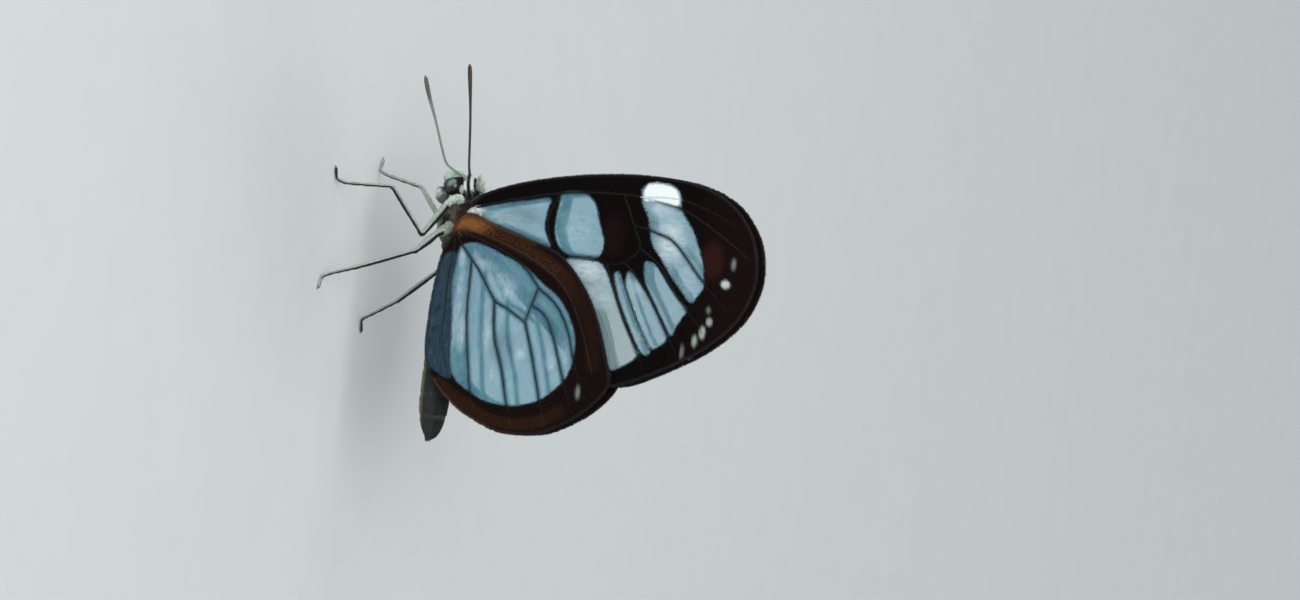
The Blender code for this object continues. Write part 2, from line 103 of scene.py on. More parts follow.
FLOOR_REACH = 2.5
floor_mesh = bpy.data.meshes.new("floor")
sheet = bmesh.new()
bmesh.ops.create_grid(sheet, x_segments=4, y_segments=4, size=FLOOR_REACH)
sheet.to_mesh(floor_mesh)
sheet.free()
floor = stand("floor", floor_mesh)
floor_finish, tree, shader = material("floor_paper", Roughness=0.9)
shade = spread(tree, noise(tree, 6.0, 4.0), 0.3, 0.7)
feed(shader, Base_Color=blend(tree, shade, (0.675, 0.69, 0.675), (0.69, 0.705, 0.69)))
floor_mesh.materials.append(floor_finish)

sky = bpy.data.worlds.new("sky")
sky.use_nodes = True
sky.node_tree.nodes["Background"].inputs["Color"].default_value = (0.86, 0.93, 1.0, 1.0)
sky.node_tree.nodes["Background"].inputs["Strength"].default_value = 0.45
bpy.context.scene.world = sky
bpy.context.scene.view_settings.view_transform = "Standard"

LAMPS = {                        # place, size and power
    "lamp_over_wings": ((-0.12, -0.52, 0.55), 0.55, 3.3),
    "lamp_at_head": ((-0.6, -0.15, 0.3), 0.4, 1.1),
    "lamp_behind": ((0.25, 0.6, 0.5), 0.5, 0.9),
}
LIT_HEIGHT = 0.015               # the lamps point at this height over the middle of the floor
for name, (place, size, power) in LAMPS.items():
    lamp = bpy.data.lights.new(name, "AREA")
    lamp.energy = power
    lamp.size = size
    hung = stand(name, lamp)
    hung.location = place
    aim = Vector(place) - Vector((0.0, 0.0, LIT_HEIGHT))
    hung.rotation_euler = aim.to_track_quat("Z", "Y").to_euler()

CAMERA_TARGET = Vector((1.97, 0.0, 28.09)) * MM
CAMERA_DISTANCE = 0.6
SEEN_WIDTH = 0.11304             # what the frame takes in from side to side at that distance
SENSOR = 36.0
CAMERA_RISE = math.radians(16.0)
CAMERA_ROLL = math.radians(7.5)
sin_rise, cos_rise = math.sin(CAMERA_RISE), math.cos(CAMERA_RISE)
sin_roll, cos_roll = math.sin(CAMERA_ROLL), math.cos(CAMERA_ROLL)
right = Vector((-sin_roll, cos_roll * sin_rise, cos_roll * cos_rise))
up = Vector((-cos_roll, -sin_roll * sin_rise, -sin_roll * cos_rise))
back = Vector((0.0, -cos_rise, sin_rise))
lens = bpy.data.cameras.new("camera")
lens.sensor_width = SENSOR
lens.lens = SENSOR * CAMERA_DISTANCE / SEEN_WIDTH
lens.clip_start, lens.clip_end = 0.01, 20.0
camera = stand("camera", lens)
camera.matrix_world = Matrix((right, up, back)).transposed().to_4x4()
camera.location = CAMERA_TARGET + back * CAMERA_DISTANCE
bpy.context.scene.camera = camera

# ---- skin of head, thorax, abdomen, legs and palps -------------------------------------------
# The animal's hard outer skin, dark horn under a thin coat. Head, neck, thorax and the seven
# rings of the abdomen are one closed skin, out of which the legs and palps grow with no seam.
# It lies a coat's depth inside the solids.
BODY_HEIGHT = 9.75
THORAX_CENTRE = Vector((-2.5, 0.0, BODY_HEIGHT))
HEAD_CENTRE = Vector((-5.7, 0.0, BODY_HEIGHT + 0.2))
EYE_CENTRE = Vector((-5.7, 0.86, BODY_HEIGHT - 0.7))
EYE_HALF = Vector((0.7, 0.53, 0.72))
ABDOMEN_START = Vector((-0.15, 0.0, 9.45))
ABDOMEN_LENGTH = 16.75
ABDOMEN_TILT = math.radians(1.4)
ABDOMEN_SEAMS = (0.0, 0.07, 0.2, 0.34, 0.48, 0.62, 0.75, 0.87, 1.0)
COAT_DEPTH = 0.1
HEAD_END, WAIST = -4.95, -0.35
COXA_REACH = 0.55                # how far the middle coxa's scales reach from its line
SKIN_GRAIN = 0.065               # size of the skin's even net
LEG_STATION = 0.06
SIDES = {"left": -1, "right": 1}
WALKING_LEGS = {
    "mid_left": [(-4.32, -1.8, 9.38), (-1.1, -3.05, 7.65), (-4.95, -4.5, 4.85),
                 (-4.7, -5.6, 0.9), (-4.95, -5.9, 0.15), (-5.9, -6.45, 0.13)],
    "mid_right": [(-4.32, 1.8, 9.38), (-1.7, 3.1, 7.9), (-5.3, 4.6, 4.6),
                  (-6.0, 5.5, 0.9), (-6.3, 5.8, 0.15), (-7.3, 6.3, 0.13)],
    "hind_left": [(-1.5, -2.15, 8.85), (0.33, -3.2, 7.35), (2.55, -5.7, 2.7),
                  (3.3, -6.25, 0.8), (3.65, -6.45, 0.15), (4.6, -6.95, 0.13)],
    "hind_right": [(-1.4, 2.15, 8.9), (1.5, 3.1, 8.0), (5.0, 4.9, 3.6),
                   (6.6, 5.7, 0.9), (7.0, 5.95, 0.15), (8.1, 6.4, 0.13)],
}
BRUSH_LEGS = {
    "fore_left": [(-4.15, -0.52, 8.6), (-4.6, -0.86, 8.1), (-5.05, -0.92, 8.08), (-5.4, -0.86, 8.22)],
    "fore_right": [(-4.15, 0.52, 8.6), (-4.62, 0.86, 8.08), (-5.1, 0.92, 8.0), (-5.45, 0.86, 8.15)],
}
COXAE = {"mid": [(-4.0, 0.6, 10.15), (-4.7, 1.3, 10.02)], "hind": [(-1.9, 0.75, 9.2)]}
PALP = [(-6.05, 0.34, 8.95), (-6.25, 0.4, 8.6), (-6.5, 0.43, 8.5), (-6.76, 0.44, 8.75), (-6.9, 0.43, 9.1),
        (-7.0, 0.42, 9.46)]
PALP_RADII = (0.2, 0.27, 0.31, 0.31, 0.31, 0.27)
WING_HINGES = [((-3.2, 1.15, 10.4), (-3.3, 1.62, 11.75)), ((-2.4, 1.15, 10.5), (-2.5, 1.62, 11.75)),
               ((-1.9, 1.2, 10.1), (-1.9, 2.0, 10.95))]
FLANK_STRIPE = [(-1.2, 1.6, 8.7), (-1.8, 1.6, 9.1), (-2.3, 1.5, 9.55)]


def length_along(line):
    return np.concatenate([[0.0], np.cumsum(np.linalg.norm(np.diff(line, axis=0), axis=1))])


def even_stations(line, station):
    length = length_along(line)
    stops = np.linspace(0.0, length[-1], max(2, round(length[-1] / station) + 1))
    return np.column_stack([np.interp(stops, length, column) for column in line.T])


def smooth_line(points, station, closed=False):
    """Even stations along a line that runs through the points and is rounded between them."""
    given = np.array(points, float)
    if closed:
        padded = np.vstack([given[-1:], given, given[:2]])
    else:
        padded = np.vstack([2 * given[0] - given[1], given, 2 * given[-1] - given[-2]])
    t = np.linspace(0.0, 1.0, 12, endpoint=False)[:, None]
    runs = []
    for p0, p1, p2, p3 in zip(padded, padded[1:], padded[2:], padded[3:]):
        runs.append(0.5 * (2 * p1 + (p2 - p0) * t + (2 * p0 - 5 * p1 + 4 * p2 - p3) * t ** 2
                           + (3 * p1 - p0 - 3 * p2 + p3) * t ** 3))
    return even_stations(np.vstack(runs + [given[:1] if closed else given[-1:]]), station)


def jointed_line(points, station, bend=0.3):
    """Straight lengths with a short round bend at each joint."""
    given = [Vector(p) for p in points]
    line = given[:1]
    for before, here, after in zip(given, given[1:], given[2:]):
        first, last = (here + (other - here).normalized() * min(bend, (other - here).length * 0.4)
                       for other in (before, after))
        for t in (0.0, 0.2, 0.4, 0.6, 0.8, 1.0):
            line.append(first * (1 - t) ** 2 + here * 2 * t * (1 - t) + last * t ** 2)
    return even_stations(np.array(line + [given[-1]]), station)


def add_tube(form, line, radii, sides=12, flat=1.0):
    """A closed tube along the line, ring by ring; flat narrows it one way."""
    line = [Vector(p) for p in line]
    ahead = (line[1] - line[0]).normalized()
    side = ahead.orthogonal().normalized()
    frames = []
    for index, point in enumerate(line):
        nearby = line[min(index + 1, len(line) - 1)] - line[max(index - 1, 0)]
        turn = ahead.rotation_difference(nearby.normalized())
        side = (turn @ side).normalized()
        ahead = nearby.normalized()
        other = ahead.cross(side)
        frame_here = Matrix((side, other, ahead)).transposed().to_4x4()
        frame_here.translation = point
        frames.append(frame_here @ Matrix.Diagonal((radii[index], radii[index] * flat, 1.0, 1.0)))
    circle = [Vector((-math.sin(turn), math.cos(turn), 0.0)) for turn in np.arange(sides) / sides * math.tau]
    rings = [[form.verts.new(frame_here @ point) for point in circle] for frame_here in frames]
    for ring, grown in zip(rings, rings[1:]):
        for k in range(sides):
            form.faces.new((ring[k], ring[k - 1], grown[k - 1], grown[k]))
    for end in (rings[0], rings[-1]):
        form.faces.new(end)


def leg_radii(line, joints):
    """Stout femur, slimmer tibia and five short tarsal rings, by distance along the leg."""
    length = length_along(line)
    hip, knee, ankle = [length[np.linalg.norm(line - np.array(j), axis=1).argmin()] for j in joints[:3]]
    shape = [(0.0, 0.32), (hip + 0.3, 0.27), (hip + (knee - hip) * 0.45, 0.33),
             (knee - 0.25, 0.22), (knee, 0.25), (knee + 0.35, 0.17),
             (knee + (ankle - knee) * 0.6, 0.2), (ankle - 0.2, 0.17), (ankle, 0.18)]
    ring = (length[-1] - ankle) / 5
    for start in ankle + ring * np.arange(5):
        shape += [(start + 0.08, 0.105), (start + ring * 0.8, 0.14), (start + ring - 0.06, 0.125)]
    shape.append((length[-1], 0.05))
    where, radius = zip(*shape)
    return np.interp(length, where, radius)


def abdomen_radius(along):
    """Slim at the waist, fullest three quarters back, each ring lipping over the next."""
    rise = np.sin(np.minimum(along / 0.78, 1.0) * np.pi / 2) ** 1.3
    past = np.clip((along - 0.78) / 0.22, 0.0, 1.0)
    plain = (0.78 + 0.62 * rise) * np.sqrt(np.maximum(0.0, 1.0 - past ** 2.2))
    seams = np.array(ABDOMEN_SEAMS)
    seam = np.clip(np.searchsorted(seams, along, side="right") - 1, 0, len(seams) - 2)
    within = (along - seams[seam]) / (seams[seam + 1] - seams[seam])
    return plain * (0.925 + 0.075 * np.minimum(1.0, within * 3.0) ** 0.6)


def finish_mesh(form, name):
    """Takes the form, in millimetres, into an object in metres."""
    bmesh.ops.recalc_face_normals(form, faces=form.faces)
    bmesh.ops.scale(form, vec=(MM, MM, MM), verts=form.verts)
    mesh = bpy.data.meshes.new(name)
    form.to_mesh(mesh)
    form.free()
    mesh.shade_smooth()
    return stand(name, mesh)


def settled(thing, name):
    """The object's mesh with its modifiers worked in, as a new mesh."""
    graph = bpy.context.evaluated_depsgraph_get()
    mesh = bpy.data.meshes.new_from_object(thing.evaluated_get(graph))
    mesh.name = name
    thing.modifiers.clear()
    thing.data = mesh


def on_side(sign, *points):
    """Points given for the right side, taken to the left where the sign is -1."""
    return [(x, sign * y, z) for x, y, z in points]


def radii_along(line, shares, radii):
    """A radius for each station of the line, from those at some shares of its length."""
    return np.interp(np.linspace(0, 1, len(line)), shares, radii)


trunk = bmesh.new()


def add_ball(centre, half, turn=0.0):
    bmesh.ops.create_uvsphere(trunk, u_segments=40, v_segments=24, radius=1.0, matrix=Matrix.LocRotScale(
        Vector(centre), Matrix.Rotation(turn, 3, "Y"), Vector(half)))


add_ball(THORAX_CENTRE, (2.22, 1.56, 1.66))
add_ball((-3.75, 0.0, 10.1), (0.95, 1.1, 1.25))                            # collar
add_ball((-0.75, 0.0, 9.75), (0.75, 1.0, 1.1))                             # hind thorax
add_ball(HEAD_CENTRE, (0.9, 0.78, 1.36))
add_ball((-6.25, 0.0, 9.45), (0.5, 0.62, 0.75))                            # frons
add_tube(trunk, [(-5.2, 0, 9.9), (-4.8, 0, 9.88), (-4.3, 0, 9.85)], [0.55, 0.5, 0.6], 24)     # neck
add_tube(trunk, [(-1.0, 0, 9.55), (-0.3, 0, 9.48), (0.3, 0, 9.46)], [0.95, 0.74, 0.7], 24)    # waist
for sign in SIDES.values():
    add_ball((EYE_CENTRE.x, sign * 0.62, EYE_CENTRE.z), (0.76, 0.3, 0.78))     # rim round the eye
    add_ball((-2.1, sign * 1.22, 9.4), (0.8, 0.38, 0.36), 0.8)                 # lobe over the hind leg
    add_ball((-3.6, sign * 1.68, 11.7), (0.44, 0.22, 0.6))                 # scale over the forewing's root
    add_ball((-3.1, sign * 1.05, 10.75), (0.75, 0.55, 0.42), 0.3)              # shoulder lobe
    palp_line = smooth_line(on_side(sign, *PALP), 0.1)
    add_tube(trunk, palp_line, radii_along(palp_line, np.linspace(0, 1, len(PALP)), PALP_RADII), 14)
    for ends in WING_HINGES:
        root, tip = map(Vector, on_side(sign, *ends))
        add_tube(trunk, [root, root.lerp(tip, 0.5), tip], [0.5, 0.34, 0.16], 12)

profile = bmesh.new()
shares = np.linspace(0.0, 1.0, 220)
inner = np.maximum(abdomen_radius(shares) - COAT_DEPTH * np.minimum(1.0, (1 - shares) * 12), 0.0)
chain = [profile.verts.new((share * (ABDOMEN_LENGTH - COAT_DEPTH), 0.0, radius))
         for share, radius in zip(shares, inner)]
chain.insert(0, profile.verts.new((0.0, 0.0, 0.0)))
for first, second in zip(chain, chain[1:]):
    profile.edges.new((first, second))
bmesh.ops.spin(profile, geom=profile.verts[:] + profile.edges[:], cent=(0, 0, 0), axis=(1, 0, 0),
               angle=2 * math.pi, steps=72, use_merge=True)
bmesh.ops.remove_doubles(profile, verts=profile.verts, dist=0.0005)
bmesh.ops.recalc_face_normals(profile, faces=profile.faces)
bmesh.ops.transform(profile, verts=profile.verts, matrix=Matrix.Translation(ABDOMEN_START)
                    @ Matrix.Rotation(-ABDOMEN_TILT, 4, "Y"))
rings = bpy.data.meshes.new("rings")
profile.to_mesh(rings)
profile.free()
trunk.from_mesh(rings)
bpy.data.meshes.remove(rings)
for sign in SIDES.values():                                                # valves at the tail
    tail = on_side(sign, (16.0, 0.3, 9.6), (16.4, 0.28, 9.62), (16.62, 0.16, 9.66))
    add_tube(trunk, tail, [0.3, 0.2, 0.06], 10)

legs = {}
for name, points in {**WALKING_LEGS, **BRUSH_LEGS}.items():
    if name in WALKING_LEGS:
        pair, side = name.split("_")
        coxa = on_side(SIDES[side], *COXAE[pair])
        lobe = smooth_line(coxa + points[:1], 0.1)
        add_tube(trunk, lobe, np.linspace(0.38 if len(coxa) > 1 else 0.62, 0.3, len(lobe)), 16)
        line = jointed_line(coxa[-1:] + points, LEG_STATION)
        radii = leg_radii(line, points)
    else:
        line = jointed_line(points, LEG_STATION)
        radii = radii_along(line, [0, 0.3, 0.7, 0.9, 1], [0.36, 0.3, 0.29, 0.23, 0.1])
    legs[name] = (line, radii)

skin = finish_mesh(trunk, "body_skin")
remesh = skin.modifiers.new("one_skin", "REMESH")
remesh.mode = "VOXEL"
remesh.voxel_size = SKIN_GRAIN * MM
relax = skin.modifiers.new("relaxed", "SMOOTH")
relax.factor = 0.5
relax.iterations = 4
settled(skin, "body_skin")
for name, (line, radii) in legs.items():
    limb = bmesh.new()
    add_tube(limb, line, radii, 14)
    limb_object = finish_mesh(limb, name)
    union = skin.modifiers.new(name, "BOOLEAN")
    union.operation = "UNION"
    union.solver = "MANIFOLD"
    union.object = limb_object
    settled(skin, "body_skin")
    bpy.data.objects.remove(limb_object)
skin.data.materials.clear()
skin.data.polygons.foreach_set("material_index", np.zeros(len(skin.data.polygons), int))
skin.data.shade_smooth()


def distance_to(points, line):
    """Distance from each point to the line, the line's nearest point and where that is along it."""
    start, step = line[:-1], np.diff(line, axis=0)
    offset = points[:, None] - start
    share = np.clip((offset * step).sum(-1) / (step ** 2).sum(-1), 0.0, 1.0)
    gap = np.linalg.norm(offset - share[..., None] * step, axis=-1)
    best = gap.argmin(1)
    rows = np.arange(len(points))
    feet = start[best] + share[rows, best][:, None] * step[best]
    return gap[rows, best], feet, best + share[rows, best]


def ramp(value, low, high):
    t = np.clip((value - low) / (high - low), 0.0, 1.0)
    return t * t * (3 - 2 * t)


def reach_of(points, centre, half):
    """How far out of a ball or an oval each point lies: 0 at its centre, 1 on its edge."""
    return np.linalg.norm((points - np.array(centre)) / np.array(half), axis=1)


def spot(points, centre, half):
    """1 inside a soft-edged ball or oval, 0 outside it."""
    return 1.0 - ramp(reach_of(points, centre, half), 0.8, 1.1)


def limb_of(points):
    """Which leg each point belongs to, or -1, with its distance and foot on that leg's line."""
    best = np.full(len(points), 9.0)
    which = np.full(len(points), -1)
    feet, along = np.zeros((len(points), 3)), np.zeros(len(points))
    for index, (line, radii) in enumerate(legs.values()):
        coarse = line[::4] if (len(line) - 1) % 4 == 0 else np.vstack([line[::4], line[-1:]])
        gap, foot, place = distance_to(points, coarse)
        place = place / (len(coarse) - 1)
        own = np.interp(place, np.linspace(0, 1, len(radii)), radii)
        closer = (gap < own + 0.12) & (gap < best) & (place > 0.08)
        best[closer], which[closer] = gap[closer], index
        feet[closer], along[closer] = foot[closer], place[closer]
    return which, best, feet, along


def paint(red, green, blue):
    """A colour as a display shows it, made linear."""
    return np.array([(c / 255 / 12.92) if c < 10.3 else ((c / 255 + 0.055) / 1.055) ** 2.4
                     for c in (red, green, blue)])


def toned(colour, share, tone):
    return colour + share[:, None] * (tone - colour)


def reckon(tree, operation, first, second=0.0, third=0.0):
    return node(tree, "Math", {0: first, 1: second, 2: third}, operation=operation).outputs[0]


def bump(tree, shader, height, distance, strength=1.0):
    made = node(tree, "Bump", {"Height": height, "Distance": distance * MM, "Strength": strength})
    feed(shader, Normal=made.outputs["Normal"])


def surface_colour(tree):
    return node(tree, "Attribute", {}, attribute_name="surface_colour").outputs["Color"]


BLACK = paint(22, 21, 19)
DARK = paint(46, 47, 42)
GREY = paint(108, 101, 90)
MAROON_WITH_PAINTED_SHADE = paint(62, 47, 41)
CREAM = paint(192, 200, 182)
MILK = paint(224, 240, 226)
WHITE = paint(240, 248, 240)
ROSY = paint(126, 111, 101)
TAWNY = paint(112, 78, 50)
LEG_PALE = paint(206, 220, 205)
LEG_DARK = paint(30, 38, 33)
BRUSH = paint(126, 136, 122)
BACK = paint(27, 31, 27)
FLANK = paint(50, 54, 50)
BELLY = paint(150, 142, 118)
WING_ROOT = ((-3.6, 1.75, 11.7), (0.56, 0.4, 0.72))       # white place over it: centre and half size
coxa_line = smooth_line(COXAE["mid"][-1:] + WALKING_LEGS["mid_right"][:1], 0.2)
flank_line = smooth_line(FLANK_STRIPE, 0.2)


def to_right(points):
    """The points, those of the left side mirrored to the right."""
    return np.column_stack([points[:, 0], np.abs(points[:, 1]), points[:, 2]])


def to_line(points, line):
    return distance_to(points, line)[0]


def body_colour(points):
    """The animal's own colour pattern, alike in the skin and in the coat, plus painted shade below the wing
    root and between the middle and hind legs.
    """
    mirrored = to_right(points)
    x, across, z = mirrored.T
    colour = np.tile(GREY, (len(points), 1))

    def lay(share, tone):
        colour[:] = toned(colour, share, tone)

    axis_z = ABDOMEN_START.z + np.maximum(0.0, x - ABDOMEN_START.x) * math.tan(ABDOMEN_TILT)
    behind = ramp(x, -0.7, -0.2)
    height = (z - axis_z) / 1.3
    lay(behind, FLANK)
    lay(behind * ramp(height, 0.05, 0.5), BACK)
    lay(behind * (1 - ramp(height, -0.85, -0.45)), BELLY)
    share = np.clip((x - ABDOMEN_START.x) / ABDOMEN_LENGTH, 0, 1)
    to_seam = np.abs(share[:, None] - np.array(ABDOMEN_SEAMS)[1:]).min(1)
    lay(behind * (1 - ramp(to_seam, 0.003, 0.012)) * 0.45, GREY)
    front = 1 - behind
    lay(front * ramp(z, 10.4, 10.9), DARK)
    lay(front * (1 - ramp(z, 8.3, 9.0)) * 0.8, CREAM)
    lay(front * (1 - ramp(np.abs(across - 0.55), 0.08, 0.16)) * ramp(z, 10.6, 10.9) * 0.8, CREAM)
    for centre, half, tone in (
            # The maroon spot below the forewing's root is a brown tone darkened as painted shade of the wing
            # base.
            ((-3.8, 1.3, 10.45), (0.85, 0.7, 0.42), MAROON_WITH_PAINTED_SHADE), ((-3.4, 1.4, 9.95), (0.55, 0.6, 0.3), ROSY),
            ((-0.9, 1.2, 9.9), (0.4, 0.5, 0.3), CREAM), ((-2.3, 1.5, 10.6), (0.85, 0.5, 0.5), TAWNY),
            # The dark spot on the flank between the middle and hind legs is painted shade of the middle leg.
            ((-2.9, 1.6, 9.15), (0.6, 0.7, 0.5), DARK)):
        lay(front * spot(mirrored, centre, half), tone)
    lay(front * (1 - ramp(to_line(mirrored, flank_line), 0.4, 0.55)), CREAM)
    lay(spot(mirrored, *WING_ROOT), WHITE)
    to_coxa = to_line(mirrored, coxa_line)
    lay((1 - ramp(to_coxa, 0.43, 0.51)) * ramp(across, 0.95, 1.15), MILK)
    head = (1 - ramp(x, HEAD_END, HEAD_END + 0.15)) * (to_coxa > COXA_REACH)
    lay(head, BLACK)
    for level, half, rest in ((10.22, 0.13, 0.15), (10.8, 0.15, 0.45)):      # stripes, fading to the rear
        stripe = 1 - ramp(np.abs(z - level - 0.2 * (x + 6.0)), half * 0.85, half * 1.15)
        lay(head * stripe * (1 - (1 - rest) * ramp(x, -5.55, -5.25)), WHITE)
    lay(head * spot(mirrored, (-5.46, 0.8, 9.97), (0.46, 0.7, 0.21)), MILK)
    lay(head * (1 - ramp(to_line(mirrored, smooth_line(PALP, 0.2)), 0.4, 0.48)), MILK)
    which, gap, feet, along = limb_of(points)
    on_leg = which >= 0
    outward = points - feet
    outward /= np.maximum(np.linalg.norm(outward, axis=1), 1e-6)[:, None]
    stripe = ramp(outward[:, 0] * 0.75 + outward[:, 2] * 0.35, 0.0, 0.28)
    leg_tone = toned(toned(LEG_PALE, stripe, LEG_DARK), ramp(along, 0.76, 0.84) * 0.25, GREY)
    brush = toned(BRUSH, spot(mirrored, (-4.78, 0.95, 8.05), (0.42, 0.5, 0.34)), WHITE)
    brush = toned(brush, 0.25 * (stripe * ramp(along, 0.3, 0.4)), LEG_DARK)
    leg_tone = np.where((which >= 4)[:, None], brush, leg_tone)
    colour[on_leg] = leg_tone[on_leg]
    return colour


def paint_on(mesh, colours):
    """Stores a colour for each corner point, for the material to read."""
    layer = mesh.color_attributes.new("surface_colour", "FLOAT_COLOR", "POINT")
    layer.data.foreach_set("color", np.column_stack([colours, np.ones(len(colours))]).ravel())


def store(mesh, name, values):
    mesh.attributes.new(name, "FLOAT", "POINT").data.foreach_set("value", values)


def dress(piece, finish):
    piece.data.materials.append(finish)
    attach(piece, "root")


def corners_of(mesh):
    where = np.empty(len(mesh.vertices) * 3)
    mesh.vertices.foreach_get("co", where)
    return where.reshape(-1, 3) / MM


paint_on(skin.data, body_colour(corners_of(skin.data)))
skin_finish, tree, shader = material("body_skin", Specular_IOR_Level=0.25)
own = surface_colour(tree)
fleck = spread(tree, noise(tree, 0.11, 4.0), 0.35, 0.65)
darker = blend(tree, 1.0, own, (0.55, 0.55, 0.55), "MULTIPLY")
feed(shader, Base_Color=blend(tree, fleck, darker, own), Roughness=spread(tree, fleck, 0, 1, 0.5, 0.75))
pits = node(tree, "TexVoronoi", {"Vector": place_on(tree), "Scale": 1.0 / (0.09 * MM)}).outputs["Distance"]
bump(tree, shader, reckon(tree, "ADD", pits, noise(tree, 0.25)), 0.02, 0.7)
dress(skin, skin_finish)
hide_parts("head", "thorax", "abdomen", "palp_left", "palp_right",
            *["leg_" + name for name in legs])

# ---- coat of scales and fur on the body, legs and palps ---------------------------------------
# Flat scales and fine hairs of the same stuff as the skin, each rooted in it and lying along it:
# long and soft on the thorax, short on the abdomen, finest on the face and feet.
TUFT_RINGS = ((0.0, 1.0), (0.55, 0.8))         # share of the length, share of the width
PATCH = 0.003                                  # size of a tuft's own patch on the unwrap
luck = np.random.default_rng(7)


def unit(vectors):
    return vectors / np.maximum(np.linalg.norm(vectors, axis=1), 1e-9)[:, None]


coat_finish, tree, shader = material("scales_and_fur", Roughness=0.6, Specular_IOR_Level=0.15,
                                     Sheen_Weight=0.08, Sheen_Roughness=0.4)
own = surface_colour(tree)
root_dark = blend(tree, 1.0, own, (0.5, 0.5, 0.5), "MULTIPLY")
along = node(tree, "Attribute", {}, attribute_name="along").outputs["Fac"]
feed(shader, Base_Color=blend(tree, spread(tree, along, 0.0, 0.5), root_dark, own))
bump(tree, shader, noise(tree, 0.03, 2.0), 0.004, 0.4)


def add_tufts(name, roots, ahead, out, length, width, thick, droop, colours, unwrap, tips=None):
    """One mesh of tapered three-sided blades; each is closed, with its root sunk in the skin."""
    count = len(roots)
    out, ahead = unit(out), unit(ahead)
    across = unit(np.cross(ahead, out))
    up = unit(np.cross(across, ahead))
    length, width, thick = (np.broadcast_to(v, count)[:, None] for v in (length, width, thick))
    rings = []
    for share, wide in TUFT_RINGS:
        middle = roots + ahead * length * share - out * length * droop * share ** 2
        rings += [middle - across * width * wide / 2, middle + across * width * wide / 2,
                  middle + up * thick * wide]
    rings.append(roots + ahead * length - out * length * droop)
    spots = np.stack(rings, axis=1)
    pattern = [(0, 2, 1), (0, 1, 4, 3), (1, 2, 5, 4), (2, 0, 3, 5), (3, 4, 6), (4, 5, 6), (5, 3, 6)]
    starts = np.arange(count)[:, None] * 7
    corners = np.concatenate([starts + np.array(face) for face in pattern], axis=1).ravel()
    sizes = np.tile([len(face) for face in pattern], count)
    mesh = bpy.data.meshes.new(name)
    mesh.vertices.add(count * 7)
    mesh.vertices.foreach_set("co", (spots * MM).ravel())
    mesh.loops.add(len(corners))
    mesh.loops.foreach_set("vertex_index", corners)
    mesh.polygons.add(len(sizes))
    mesh.polygons.foreach_set("loop_start", np.concatenate([[0], np.cumsum(sizes)[:-1]]))
    mesh.update(calc_edges=True)
    mesh.validate()
    mesh.shade_smooth()
    own_patch = np.array([(0, 0), (1, 0), (0.5, 0), (0.1, 0.55), (0.9, 0.55), (0.5, 0.55), (0.5, 1)])
    flat = unwrap[:, None] * (1 - PATCH) + own_patch * PATCH
    mesh.uv_layers.new(name="OFBake").data.foreach_set("uv", flat.reshape(-1, 2)[corners].ravel())
    tips = colours if tips is None else tips
    upper = colours * 0.35 + tips * 0.65
    paint_on(mesh, np.stack([colours] * 3 + [upper] * 3 + [tips], axis=1).reshape(-1, 3))
    store(mesh, "along", np.tile([0, 0, 0, 0.55, 0.55, 0.55, 1.0], count))
    dress(stand(name, mesh), coat_finish)


def skin_samples(mesh, weights, count):
    """Points spread over the skin, the more the greater the weight there, with their normals."""
    mesh.calc_loop_triangles()
    corners = corners_of(mesh)
    index = np.empty(len(mesh.loop_triangles) * 3, int)
    mesh.loop_triangles.foreach_get("vertices", index)
    index = index.reshape(-1, 3)
    a, b, c = (corners[index[:, k]] for k in range(3))
    normal = np.cross(b - a, c - a)
    area = np.linalg.norm(normal, axis=1) / 2
    share = area * weights((a + b + c) / 3)
    pick = np.searchsorted(np.cumsum(share) / share.sum(), luck.random(count))
    r1, r2 = np.sqrt(luck.random(count))[:, None], luck.random(count)[:, None]
    spots = a[pick] * (1 - r1) + b[pick] * r1 * (1 - r2) + c[pick] * r1 * r2
    return spots, unit(normal[pick])


def on_body(points):
    return limb_of(points)[0] < 0


def in_abdomen(points):
    return (points[:, 0] > WAIST) & on_body(points)


def in_legs(points):
    which, gap, feet, along = limb_of(points)
    return (which >= 0) * (1 + 2.5 * ramp(along, 0.7, 0.8))


def in_head(points):
    return (points[:, 0] < HEAD_END) & on_body(points) & (to_line(to_right(points), coxa_line) > COXA_REACH)


def in_thorax(points):
    return (points[:, 0] <= WAIST) & on_body(points) & ~in_head(points)


def laid(normals, wanted, lift):
    """A direction along the surface, near the wanted one, standing off it by the lift."""
    flat = wanted - normals * (wanted * normals).sum(1)[:, None]
    return unit(unit(flat) + normals * np.broadcast_to(lift, len(normals))[:, None])


def varied(count, low, high):
    return luck.uniform(low, high, count)


def tinted(colours, spread_of):
    return np.clip(colours * luck.normal(1.0, spread_of, len(colours))[:, None], 0.0, 1.0)


def rearward(count):
    return np.tile([1.0, 0.0, 0.0], (count, 1))


def round_unwrap(points):
    """Along the body one way and round it the other, as its skin would unroll."""
    return np.column_stack([np.clip((points[:, 0] + 8.0) / 25.2, 0, 1),
                            np.arctan2(points[:, 1], points[:, 2] - 9.6) / (2 * np.pi) + 0.5])


